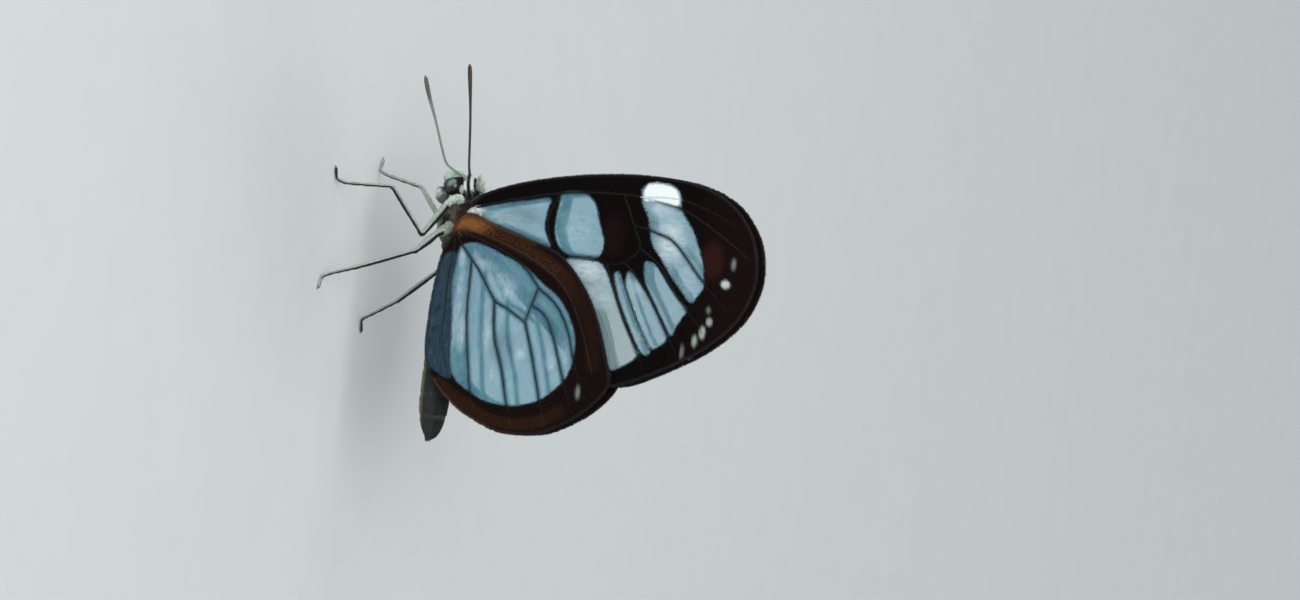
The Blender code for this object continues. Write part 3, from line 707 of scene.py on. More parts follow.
roots, out = skin_samples(skin.data, in_head, 14000)
count = len(roots)
x, y, z = roots.T
palp_middle = smooth_line(PALP, 0.1)
gap, feet, place = distance_to(to_right(roots), palp_middle)
palp = 1 - ramp(gap, 0.4, 0.5)
place = np.minimum(place.astype(int), len(palp_middle) - 2)
up_palp = unit(palp_middle[place + 1] - palp_middle[place])
up_palp[:, 1] *= np.sign(y)
brow = (1 - palp) * ramp(z, 10.0, 10.2)
face = (1 - palp) * ramp(-x, 6.1, 6.5) * (1 - brow)
crown = ramp(z, 11.02, 11.12)
nape = ramp(x, -5.45, -5.2) * ramp(z, 10.5, 10.8) * (1 - crown)
lie = rearward(count)
for share, way in ((face, (-0.3, 0.0, -1.0)), (brow, (-1.0, 0.0, 0.05)), (crown, (-1.0, 0.0, 0.35)),
                   (crown * ramp(x, -5.6, -5.2), (0.35, 0.0, 1.0)), (nape, (0.25, 0.0, 1.0)),
                   (palp, up_palp)):
    lie = toned(lie, share, np.array(way))
lie += luck.normal(0, (0.18, 0.18, 0.08), (count, 3))
in_front = brow * ramp(-out[:, 0], 0.4, 0.9)
length = varied(count, 0.18, 0.32) * (1 - 0.4 * face) * (1 + 0.5 * in_front) * (1 + 2.4 * crown + 2.8 * nape)
lift = varied(count, 0.15, 0.5) + 1.2 * in_front + 0.5 * nape + crown * varied(count, 0.5, 1.1)
ahead = laid(out, lie, lift)
hue = body_colour(roots + ahead * (length * 0.5 * (1 - palp))[:, None])
hue = toned(hue, np.maximum(crown, 0.8 * nape), BLACK)
tips = np.where(((crown > 0.5) & (luck.random(count) < 0.85))[:, None], MILK, hue)
shade = luck.normal(1.0, 0.12, count)[:, None]
add_tufts("coat_head", roots - out * 0.04, ahead, out, length, 0.065 - 0.015 * crown, 0.03, 0.15,
          np.clip(hue * shade, 0, 1), round_unwrap(roots), np.clip(tips * shade, 0, 1))

roots, out = skin_samples(skin.data, in_thorax, 18000)
count = len(roots)
x, y, z = roots.T
collar = ramp(-x, 3.8, 4.3) * ramp(z, 10.3, 10.7)
shoulder = ramp(z, 10.4, 10.8)
lie = rearward(count)
lie += luck.normal(0, 0.22, (count, 3)) + np.array([0, 0, -0.25]) * (roots[:, 2:3] < 9.5)
lie += shoulder[:, None] * np.array([-0.3, 0.0, 0.5]) + collar[:, None] * np.array([-1.3, 0.0, 1.2])
to_sleek = np.minimum(to_line(to_right(roots), coxa_line), to_line(to_right(roots), flank_line))
sleek = np.maximum(1 - ramp(to_sleek, 0.48, 0.78), spot(to_right(roots), *WING_ROOT))
length = varied(count, 0.35, 0.75) * (1 + 1.9 * collar) * (1 + 0.4 * shoulder) * (1 - 0.6 * sleek)
lift = 0.35 * varied(count, 0.4, 1.5) * (1 - 0.2 * sleek) + 0.9 * collar * (1 - sleek)
hue = body_colour(roots + luck.normal(0, 0.14, (count, 3)) * (1 - sleek)[:, None])
add_tufts("coat_thorax", roots - out * (0.04 - 0.02 * sleek)[:, None], laid(out, lie, lift), out, length,
          0.085, 0.03, 0.18, tinted(hue, 0.28), round_unwrap(roots))

roots, out = skin_samples(skin.data, in_abdomen, 19000)
count = len(roots)
x, y, z = roots.T
lie = rearward(count) + luck.normal(0, 0.12, (count, 3))
add_tufts("coat_abdomen", roots - out * 0.03, laid(out, lie, varied(count, 0.05, 0.22)), out,
          varied(count, 0.24, 0.42) * (1 + 0.5 * ramp(x, 15.6, 16.5)) * (1 - 0.5 * ramp(x, 16.3, 16.6)),
          0.11, 0.025, 0.08, tinted(body_colour(roots), 0.16), round_unwrap(roots))

roots, out = skin_samples(skin.data, in_legs, 19500)
count = len(roots)
which, gap, feet, along = limb_of(roots)
lie = np.zeros((count, 3))
for index, (line, radii) in enumerate(legs.values()):
    mine = which == index
    place = np.clip(along[mine] * (len(line) - 1), 0, len(line) - 2).astype(int)
    lie[mine] = unit(line[np.minimum(place + 3, len(line) - 1)] - line[np.maximum(place - 2, 0)])
foot = ramp(along, 0.72, 0.85)
brush = which >= 4
length = varied(count, 0.13, 0.24) * (1 - 0.45 * foot) * np.where(brush, 1.7, 1.0)
unrolled = np.column_stack([along, (which + np.arctan2(out[:, 1], out[:, 0]) / (2 * np.pi) + 0.5) / 6])
lie += luck.normal(0, 0.1, (count, 3))
low = roots[:, 2] < 0.3                        # the feet's flat undersides stay bare
keep = ~(low & (out[:, 2] < -0.2))
ahead = laid(out, lie, np.where(low, 0.25, varied(count, 0.2, 0.45) * np.where(brush, 1.6, 1.0)))
add_tufts("coat_legs", (roots - out * 0.012)[keep], ahead[keep], out[keep], length[keep],
          np.where(foot > 0.5, 0.05, 0.07)[keep], 0.015, 0.05, tinted(body_colour(roots), 0.14)[keep],
          unrolled[keep])

# ---- claws and spines of the legs --------------------------------------------------------------
# Black horn: two curved claws at the end of each walking leg, resting on the floor, and rows of
# short stiff spines under its tibia and tarsus.
claw_finish, tree, shader = material("claw_horn", Roughness=0.35)
feed(shader, Base_Color=blend(tree, spread(tree, noise(tree, 0.05), 0.3, 0.7), paint(20, 15, 12),
                              paint(46, 34, 26)))
bump(tree, shader, noise(tree, 0.02), 0.003, 0.4)
HOOK = ((-0.08, 0.0), (0.06, 0.02), (0.16, -0.01), (0.22, -0.09))     # how far ahead of the toe, how high
claws = bmesh.new()
stems, ways = [], []
for name in WALKING_LEGS:
    line, radii = legs[name]
    toe, heading = Vector(line[-1]), Vector(line[-1] - line[-4]).normalized()
    for turn in (-0.42, 0.42):
        way = Matrix.Rotation(turn, 3, "Z") @ heading
        hook = smooth_line([toe + way * reach + Vector((0, 0, rise)) for reach, rise in HOOK], 0.03)
        add_tube(claws, hook, np.linspace(0.05, 0.012, len(hook)), 8)
    for index in range(int(len(line) * 0.42), len(line) - 4, 3):
        ahead = unit(line[index + 2] - line[index - 2] + np.zeros((1, 3)))[0]
        below = np.cross(np.cross(ahead, (0.6, 0.0, -1.0)), ahead)
        below /= np.linalg.norm(below)
        aside = np.cross(ahead, below)
        for row in (-0.6, 0.6):
            off = below + row * aside
            off /= np.linalg.norm(off)
            if line[index][2] + off[2] * radii[index] < 0.1:
                continue
            stems.append(line[index] + off * radii[index] * 0.9)
            ways.append(np.concatenate([ahead + off * 0.9, off]))
dress(finish_mesh(claws, "claws"), claw_finish)
stems, ways = np.array(stems), np.array(ways)
count = len(stems)
add_tufts("leg_spines", stems, ways[:, :3], ways[:, 3:], varied(count, 0.12, 0.18), 0.03, 0.025, 0.0,
          np.tile(BLACK, (count, 1)), np.column_stack([np.linspace(0, 1, count), np.full(count, 0.5)]))

# ---- eyes ------------------------------------------------------------------------------------
# Two big round eyes of dark glossy facets with a pale painted reflection, one on each side of the head, each
# sunk in its rim.
eye_finish, tree, shader = material("compound_eye", Roughness=0.16, Coat_Weight=0.6,
                                    Coat_Roughness=0.08)
fleck = spread(tree, noise(tree, 0.12), 0.3, 0.7, 0.7, 1.0)
feed(shader, Base_Color=blend(tree, 1.0, surface_colour(tree), fleck, "MULTIPLY"))
facets = node(tree, "TexVoronoi", {"Vector": place_on(tree), "Scale": 1.0 / (0.055 * MM)},
              feature="DISTANCE_TO_EDGE").outputs["Distance"]
bump(tree, shader, spread(tree, facets, 0.0, 0.25), 0.004, 0.5)
# Dark facets and, over the front of each eye, a soft pale grey-green painted reflection.
DARK_EYE, EYE_PAINTED_REFLECTION = paint(17, 16, 16), paint(122, 140, 128)
PAINTED_REFLECTION_CENTRE = (-5.98, 9.12)
for side, sign in SIDES.items():
    ball = bmesh.new()
    bmesh.ops.create_icosphere(ball, subdivisions=5, radius=1.0, matrix=Matrix.LocRotScale(
        Vector(*on_side(sign, EYE_CENTRE)), None, EYE_HALF))
    eye = finish_mesh(ball, "eye_ball_" + side)
    offset = corners_of(eye.data)[:, [0, 2]] - np.array(PAINTED_REFLECTION_CENTRE)
    slant = np.hypot(offset @ np.array([-0.75, 0.66]) / 0.5, offset @ np.array([0.66, 0.75]) / 0.3)
    paint_on(eye.data, toned(DARK_EYE, 1 - ramp(slant, 0.3, 1.25), EYE_PAINTED_REFLECTION))
    dress(eye, eye_finish)
    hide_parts("eye_" + side)

# ---- feelers ---------------------------------------------------------------------------------
# Thin ringed feelers that thicken to a slim club. Each is dark horn, paler on its outer side,
# and grows from a socket beside the eye.
FEELER_ROOT = Vector((-6.25, 0.32, 10.25))
FEELERS = {
    "left": [(-6.68, -0.75, 9.95), (-7.1, -1.4, 9.2), (-7.6, -1.95, 8.65), (-8.9, -2.75, 8.3),
             (-11.2, -4.0, 7.8), (-13.2, -5.45, 7.4), (-14.8, -6.6, 7.2)],
    "right": [(-6.75, 0.55, 10.15), (-7.7, 1.2, 9.75), (-9.4, 2.2, 9.25), (-11.9, 3.7, 8.5),
              (-14.4, 5.25, 7.65), (-16.7, 6.8, 6.8)],
}
FEELER_RING, RING_STATIONS = 0.3, 6
feeler_finish, tree, shader = material("feeler_horn", Roughness=0.42)
fleck = spread(tree, noise(tree, 0.06, 2.0), 0.35, 0.65, 0.75, 1.0)
feed(shader, Base_Color=blend(tree, 1.0, surface_colour(tree), fleck, "MULTIPLY"))
bump(tree, shader, noise(tree, 0.04, 3.0), 0.008, 0.5)
for side, sign in SIDES.items():
    line = smooth_line(on_side(sign, FEELER_ROOT) + FEELERS[side], FEELER_RING / RING_STATIONS)
    radii = radii_along(line, [0, 0.03, 0.07, 0.12, 0.6, 0.78, 0.9, 0.97, 1],
                        [0.2, 0.2, 0.13, 0.115, 0.115, 0.17, 0.21, 0.19, 0.05])
    stalk = bmesh.new()
    add_tube(stalk, line, radii * np.where(np.arange(len(line)) % RING_STATIONS < 2, 0.84, 1.0), 14)
    feeler = finish_mesh(stalk, "feeler_" + side)
    corners = corners_of(feeler.data)
    gap, feet, place = distance_to(corners, line)
    outer = (corners - feet)[:, 1] * sign / np.maximum(gap, 0.01)
    tone = toned(paint(40, 34, 28), ramp(outer, -0.1, 0.5), paint(150, 160, 146))
    tone = toned(tone, 0.6 * ramp(place / len(line), 0.72, 0.85), paint(70, 52, 36))
    joint = ((np.round(place).astype(int) % RING_STATIONS) == 0)[:, None]
    paint_on(feeler.data, np.where(joint, tone * 0.45, tone))
    dress(feeler, feeler_finish)
    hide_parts("antenna_" + side)

# ---- tongue ----------------------------------------------------------------------------------
# The sucking tube, rolled like a watch spring under the face: two half tubes of dark horn side
# by side, ringed across, leaving the mouth between the palps.
TONGUE_CENTRE = Vector((-6.4, 0.0, 8.33))
TONGUE_LEAD = [(-6.08, 0.0, 9.0), (-6.1, 0.0, 8.86), (-6.16, 0.0, 8.72)]
TURNS = 3.6
steps = np.linspace(0.0, 1.0, 110)[4:]
angles = math.radians(60) + steps * TURNS * 2 * math.pi
reach = 0.34 - 0.27 * steps
coil = np.column_stack([TONGUE_CENTRE.x + reach * np.cos(angles), 0 * steps,
                        TONGUE_CENTRE.z + reach * np.sin(angles)])
tongue_line = smooth_line(np.vstack([TONGUE_LEAD, coil]), 0.035)
tongue_form = bmesh.new()
for sign in SIDES.values():
    strand = tongue_line + np.array([0.0, sign * 0.036, 0.0])
    radii = radii_along(strand, [0, 0.4, 1], [0.07, 0.055, 0.025])
    add_tube(tongue_form, strand, radii * np.where(np.arange(len(strand)) % 3 == 0, 0.9, 1.0), 8)
tongue = finish_mesh(tongue_form, "tongue")
tongue_finish, tree, shader = material("tongue_horn", Roughness=0.35)
feed(shader, Base_Color=blend(tree, spread(tree, noise(tree, 0.12), 0.3, 0.7), paint(34, 27, 22),
                              paint(62, 50, 40)))
bump(tree, shader, noise(tree, 0.03), 0.005, 0.4)
dress(tongue, tongue_finish)
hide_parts("proboscis")

# ---- wings: membranes -------------------------------------------------------------------------
# Each wing is one thin glassy membrane, bare in its windows and shingled with dark scales in its
# bands. It is drawn flat, with its length up and its front toward the head, then bowed so that
# the four lie closed over the back.
ROOT_HEIGHT, TOP_HEIGHT = 11.2, 37.4
SHEET_NET = 0.18
SHEET_THICKNESS = 0.09
FORE_LIFT = {"left": 0.0, "right": 0.25}
FORE_MARGIN = [
    (-3.35, 11.47), (-4.3, 11.55), (-5.3, 12.54), (-6.55, 15.51), (-7.6, 19.37), (-8.3, 23.42),
    (-8.6, 27.39), (-8.3, 31.44), (-7.0, 34.59), (-4.7, 36.61), (-2.3, 37.4), (0.1, 37.35), (2.9, 36.2),
    (5.6, 33.58), (8.1, 29.66), (9.7, 26.06), (9.2, 23.64), (6.3, 20.36), (3.2, 16.79), (0.4, 13.63),
    (-1.4, 11.8), (-2.3, 11.47)]
HIND_MARGIN = [
    (-1.35, 10.21), (-2.6, 10.51), (-3.4, 11.7), (-2.4, 14.45), (-1.5, 18.09), (-0.6, 20.27),
    (1.85, 22.6), (4.5, 24.1), (7.7, 25.28), (9.6, 25.75), (11.5, 24.6), (13.2, 22.65), (14.7, 19.8),
    (15.0, 16.5), (13.9, 13.39), (12.9, 11.84), (11.9, 10.67), (10.4, 9.58), (8.8, 9.1), (6.2, 9.01),
    (3.1, 9.16), (0.5, 9.46)]
FORE_VEINS = {
    "radius": [(-3.9, 11.6), (-4.35, 12.5), (-4.8, 13.9), (-5.3, 15.61), (-6.2, 19.07), (-6.7, 22.63),
               (-6.8, 26.3), (-6.2, 30.16), (-4.4, 33.84), (-2.5, 36.82)],
    "radial_fork": [(-6.8, 26.3), (-7.0, 29.77), (-6.2, 33.04), (-5.1, 35.43)],
    "cubitus": [(-3.0, 11.6), (-3.2, 12.2), (-2.9, 13.33), (-2.1, 16.1), (-1.3, 18.67), (-0.95, 20.75),
                (-1.0, 23.13), (-0.64, 24.12)],
    "cell_bar": [(-6.3, 19.27), (-4.4, 18.48), (-3.1, 18.48), (-1.9, 18.97), (-1.15, 19.86)],
    "cell_end": [(-6.8, 24.91), (-4.3, 26.1), (-2.4, 26.89), (-1.0, 25.7), (-0.64, 24.12)],
    "cubital_one": [(-0.64, 24.12), (0.85, 24.81), (3.9, 26.3), (6.7, 27.88), (7.9, 28.5)],
    "medial_three": [(-1.0, 25.7), (0.7, 27.49), (2.4, 28.78), (4.9, 30.36), (6.3, 31.3)],
    "medial_two": [(-2.4, 26.89), (-1.1, 28.87), (0.45, 30.06), (2.6, 31.95), (4.4, 33.6)],
    "medial_one": [(-4.3, 26.1), (-3.8, 28.48), (-3.1, 30.06), (-0.5, 32.55), (2.2, 35.4)],
    "cubital_two": [(-1.3, 18.67), (1.5, 21.54), (4.8, 23.72), (8.8, 25.6)],
    "anal": [(-2.75, 11.6), (-2.3, 12.3), (0.6, 15.11), (4.2, 19.07), (7.3, 22.53)]}
HIND_VEINS = {
    "subcosta": [(-1.85, 10.5), (-2.1, 11.5), (-1.3, 14.65), (0.0, 18.0), (1.9, 20.7), (4.9, 22.6),
                 (9.0, 24.2)],
    "radius": [(-1.7, 10.45), (-1.7, 11.1), (-1.3, 12.78), (-0.5, 15.14), (0.6, 17.01), (2.2, 18.49)],
    "cell_end": [(2.2, 18.49), (3.75, 18.04), (5.3, 17.65)],
    "cubitus": [(-1.6, 10.45), (-0.9, 10.95), (0.5, 12.19), (1.6, 13.17), (3.7, 14.65), (4.35, 15.93),
                (5.3, 17.65)],
    "anal": [(0.5, 12.19), (2.2, 12.24), (5.4, 12.39), (9.2, 12.96), (12.0, 13.52), (13.4, 14.09)],
    "cubital_two": [(3.7, 14.65), (6.85, 15.09), (9.7, 16.11), (12.2, 16.77), (14.4, 17.42)],
    "cubital_one": [(5.3, 17.65), (7.6, 18.49), (11.7, 19.73), (14.2, 20.38)],
    "medial_three": [(3.75, 18.04), (4.55, 19.38), (6.35, 20.37), (8.8, 21.3), (12.6, 22.7)],
    "medial_one": [(2.2, 18.49), (3.5, 20.27), (5.5, 21.55), (8.0, 22.4), (11.2, 23.75)],
    "inner_anal": [(-1.3, 10.4), (0.4, 10.41), (3.4, 10.31), (7.8, 10.5), (11.6, 11.56)]}
FORE_WINDOWS = {
    "cell_base": [(-4.0, 11.7), (-4.2, 12.4), (-4.6, 13.5), (-5.0, 15.2), (-5.4, 17.0), (-5.7, 18.4),
                  (-4.9, 18.3), (-4.0, 18.2), (-3.1, 18.2), (-2.2, 18.6), (-1.4, 19.0), (-1.6, 18.0),
                  (-2.0, 16.1), (-2.3, 14.7), (-2.7, 13.3), (-3.1, 12.2), (-3.5, 11.7)],
    "cell_end": [(-6.2, 19.3), (-6.5, 20.0), (-6.6, 20.9), (-6.4, 21.7), (-5.6, 22.5), (-4.5, 22.9),
                 (-3.7, 23.2), (-2.7, 23.6), (-1.8, 23.6), (-1.1, 23.2), (-0.9, 22.1), (-0.9, 20.9),
                 (-1.3, 20.0), (-2.0, 19.4), (-3.0, 19.1), (-4.2, 19.1), (-5.3, 19.2)],
    "low": [(-0.8, 21.0), (-0.8, 22.8), (-0.6, 23.7), (0.5, 24.5), (1.5, 25.0), (3.2, 25.8),
            (4.8, 26.7), (6.2, 27.6), (6.6, 28.1), (7.3, 27.6), (8.0, 26.7), (8.5, 25.6), (8.2, 24.1),
            (6.0, 21.2), (3.0, 17.7), (0.3, 14.6), (-1.5, 12.5), (-2.3, 12.5), (-2.5, 13.5),
            (-1.9, 15.9), (-1.1, 18.4), (-0.6, 20.2)],
    "slit_one": [(0.2, 24.9), (-0.1, 25.1), (0.0, 25.4), (1.0, 25.9), (2.4, 26.6), (4.0, 27.5),
                 (5.5, 28.4), (6.2, 29.0), (6.8, 28.7), (6.5, 28.1), (5.2, 27.2), (3.3, 26.1), (1.9, 25.4)],
    "slit_two": [(0.2, 26.0), (-0.3, 26.2), (-0.3, 26.5), (0.6, 27.3), (1.6, 28.2), (2.9, 29.1),
                 (4.2, 30.0), (5.0, 30.4), (5.8, 29.8), (6.2, 29.0), (5.5, 28.4), (4.0, 27.5), (2.5, 26.7),
                 (1.1, 26.1)],
    "fork": [(-1.2, 27.5), (-1.3, 28.1), (-0.9, 28.7), (0.4, 29.8), (1.6, 30.9), (2.3, 31.8), (3.2, 31.4),
             (4.0, 31.0), (4.9, 30.7), (4.4, 30.2), (2.9, 29.2), (1.6, 28.4), (0.3, 27.7)],
    "subapical": [(-6.3, 26.6), (-5.3, 27.2), (-3.9, 27.6), (-2.8, 28.0), (-1.8, 28.8), (-0.4, 29.9),
                  (0.8, 31.0), (1.8, 32.0), (1.2, 32.5), (0.3, 33.0), (-0.5, 32.9), (-1.9, 32.6),
                  (-3.1, 32.1), (-4.5, 31.4), (-5.4, 30.7), (-6.3, 30.15), (-7.1, 30.05), (-7.75, 29.7),
                  (-8.08, 29.1), (-8.12, 28.3), (-8.1, 27.4), (-7.95, 26.8), (-7.4, 26.4)]}
HIND_WINDOW = [
    (-0.7, 11.2), (-1.0, 12.3), (-0.8, 13.5), (-0.3, 14.9), (0.2, 16.5), (1.1, 17.9), (1.9, 19.0),
    (2.5, 20.0), (3.5, 21.0), (4.8, 21.8), (6.1, 22.3), (7.6, 22.4), (8.9, 22.2), (10.0, 21.7),
    (10.9, 20.9), (11.8, 19.9), (12.3, 18.8), (12.7, 17.4), (12.7, 16.1), (12.5, 14.7), (12.0, 13.6),
    (11.4, 12.5), (10.6, 11.7), (9.4, 11.4), (7.3, 11.2), (5.1, 11.0), (2.9, 10.7), (0.9, 10.8),
    (-0.2, 10.9)]
HIND_FOLD = [
    (0.2, 10.8), (2.9, 10.95), (6.0, 11.3), (8.6, 11.55), (10.6, 11.85), (11.1, 11.3), (10.7, 10.3),
    (10.1, 9.3), (8.0, 8.8), (4.0, 8.9), (1.2, 9.3), (0.1, 9.9)]
COSTAL_PATCH = [
    (-6.5, 26.7), (-7.4, 26.6), (-8.0, 26.9), (-8.2, 27.5), (-8.2, 28.4), (-8.1, 29.1), (-7.7, 29.6),
    (-7.0, 29.9), (-6.4, 29.8), (-6.5, 29.0), (-6.6, 27.8)]
PALE_SPOTS = {                   # dull white spots in the dark bands: centre, half size, strength
    True: [((-0.2, 34.9), (0.36, 0.4), 1.0), ((-2.0, 35.4), (0.5, 0.2), 0.35),
           ((3.2, 33.9), (0.36, 0.26), 0.65), ((4.2, 33.4), (0.55, 0.26), 0.75),
           ((5.0, 32.8), (0.5, 0.2), 0.7), ((6.1, 31.8), (0.6, 0.15), 0.35),
           ((2.2, 33.7), (0.3, 0.18), 0.3), ((-3.8, 11.95), (0.4, 0.45), 0.6)],
    False: [((10.75, 23.15), (0.6, 0.2), 0.35)]}
WARM_SPOTS = [((-2.1, 33.5), (1.8, 1.1), 0.55, -0.4), ((-3.2, 24.3), (1.8, 1.1), 0.15, -0.5)]
HIND_BROWN = [                   # lines of brown: their points, half width and strength
    ([(-2.2, 10.3), (-2.5, 11.5), (-2.2, 13.0), (-1.7, 14.8), (-1.0, 16.8), (-0.2, 18.7), (0.8, 20.4),
      (2.4, 22.0), (4.3, 23.2), (6.4, 23.9), (8.3, 24.1)], 0.62, 1.0),
    ([(11.5, 10.5), (12.5, 12.0), (13.3, 13.6), (14.0, 15.2), (14.3, 17.0), (14.1, 18.8), (13.5, 20.4),
      (12.6, 21.8)], 0.55, 0.8),
    ([(-2.7, 10.6), (-3.35, 11.7), (-2.9, 13.2), (-2.3, 14.6), (-1.5, 17.3)], 0.5, 1.0)]
MILKY_AND_GLINT_PLACES = {                 # whitish, less clear places in the windows, partly painted glints of light on the membrane
    True: [((-3.55, 12.0), (0.6, 0.75), 1.0), ((-3.1, 13.6), (0.8, 1.8), 0.55),
           ((-3.3, 29.5), (3.2, 2.2), 1.0), ((2.4, 22.5), (1.8, 4.0), 0.7), ((0.1, 22.3), (1.6, 2.6), 1.0),
           ((0.3, 24.2), (1.6, 0.7), 0.6), ((-3.9, 12.1), (0.5, 1.1), 0.9), ((-6.2, 28.4), (1.6, 2.2), 0.8),
           ((1.0, 27.0), (1.4, 0.8), 0.5), ((-3.6, 21.2), (2.6, 2.0), 0.35),
           ((-3.4, 14.5), (1.3, 3.6), 0.4), ((-0.3, 31.7), (2.4, 1.4), 0.35),
           ((5.5, 27.5), (1.8, 1.2), 0.3)],
    False: [((4.5, 11.5), (6.0, 0.7), 0.6), ((0.4, 11.3), (1.5, 0.4), 0.9), ((3.0, 12.2), (4.0, 0.5), 0.4),
            ((8.1, 17.5), (1.1, 0.8), 0.55), ((8.5, 20.5), (1.1, 0.8), 0.5), ((2.5, 15.8), (1.6, 1.3), 0.5),
            ((6.8, 14.5), (2.2, 0.6), 0.5), ((0.9, 13.2), (0.9, 2.0), 0.4), ((10.0, 15.3), (1.8, 0.6), 0.4),
            ((7.5, 21.8), (2.6, 0.8), 0.35), ((6.7, 12.1), (2.8, 0.8), 0.75), ((1.9, 15.0), (1.1, 1.3), 0.4)]}
DEEP_PLACES = {                  # darker places in the windows
    True: [((-3.9, 15.9), (1.2, 2.6), 0.7), ((-4.6, 21.0), (1.6, 1.4), 0.25)],
    False: [((8.0, 15.8), (2.6, 1.8), 0.6), ((5.5, 20.0), (1.6, 1.2), 0.3)]}
VEIN_DARK = 0.09                 # half width of the dark scales that line a vein
GLASS_DEEP, GLASS_LIGHT = paint(84, 146, 166), paint(150, 211, 228)
GLASS_DULL, GLASS_MILKY_GLINT = paint(180, 200, 200), paint(226, 238, 242)
GLASS_LILAC = paint(142, 160, 212)


def lean(height):
    """Distance of a forewing's sheet from the middle plane at a height."""
    left = np.maximum(0.0, 1.0 - np.maximum(0.0, height - ROOT_HEIGHT) / (TOP_HEIGHT - ROOT_HEIGHT))
    return 0.82 + 0.83 * left ** 1.3


def hind_lean(x, height):
    return lean(height) + 0.48 - 0.35 * (np.maximum(0.0, x - 6.0) / 9.0) ** 2


def inside(points, outline):
    x, z = points[:, 0:1], points[:, 1:2]
    first, second = outline[:-1], outline[1:]
    spans = (first[:, 1] > z) != (second[:, 1] > z)
    rise = second[:, 1] - first[:, 1]
    cross = first[:, 0] + (z - first[:, 1]) * (second[:, 0] - first[:, 0]) / np.where(rise == 0, 1e-9, rise)
    return (spans & (x < cross)).sum(1) % 2 == 1


def depth_in(points, outline):
    """Distance to the outline, positive inside it."""
    return np.where(inside(points, outline), 1.0, -1.0) * distance_to(points, outline)[0]


def oval(points, centre, half):
    return (1 - reach_of(points, centre, half)) * min(half)


def rounded(outline):
    return smooth_line(outline, 0.3, True)


def wing_marks(points, fore):
    """What lies at each point of the flat wing: windows, pale and brown places, nearness of a vein."""
    veins = FORE_VEINS if fore else HIND_VEINS
    vein = np.min([to_line(points, smooth_line(line, 0.5)) for line in veins.values()], axis=0) - VEIN_DARK
    z = points[:, 1]
    pale, warm, faint, milky, deep = np.zeros((5, len(points)))
    for centre, half, strength in PALE_SPOTS[fore]:
        faint = np.maximum(faint, ramp(oval(points, centre, half), -0.1, 0.14) * strength)
    if fore:
        opened = np.max([depth_in(points, rounded(window)) for window in FORE_WINDOWS.values()], axis=0)
        pale = depth_in(points, rounded(COSTAL_PATCH))
        warm = 0.12 * ramp(z, 30.0, 36.0)
        for centre, half, strength, edge in WARM_SPOTS:
            warm = np.maximum(warm, strength * ramp(oval(points, centre, half), edge, 0.6))
        tone = 0.65 * ramp(depth_in(points, rounded(FORE_WINDOWS["low"])), -0.1, 0.3)
        tone = tone + 0.2 * ramp(z, 24.4, 25.4)
    else:
        opened = depth_in(points, rounded(HIND_WINDOW))
        pale = pale - 2.0
        for line, half, strength in HIND_BROWN:
            gap = to_line(points, smooth_line(line, 0.4))
            warm = np.maximum(warm, (1 - ramp(gap, half * 0.55, half * 1.45)) * strength)
        warm = warm * (1 - 0.65 * ramp(z, 19.5, 23.5))
        warm = warm + 0.85 * (1 - ramp(reach_of(points, (-2.5, 11.1), (1.3, 3.8)), 0.2, 1.0))
        tone = 2.0 * ramp(depth_in(points, rounded(HIND_FOLD)), -0.4, 0.3)
        warm = warm * (1 - ramp(tone, 0.5, 1.5))
    for places, share in ((MILKY_AND_GLINT_PLACES, milky), (DEEP_PLACES, deep)):
        for centre, half, strength in places[fore]:
            share[:] = np.maximum(share, strength * (1 - ramp(reach_of(points, centre, half), 0.2, 1.0)))
    return {"opened": opened, "pale": pale, "faint": faint, "warm": warm, "vein": vein, "tone": tone,
            "milky": milky, "deep": deep}


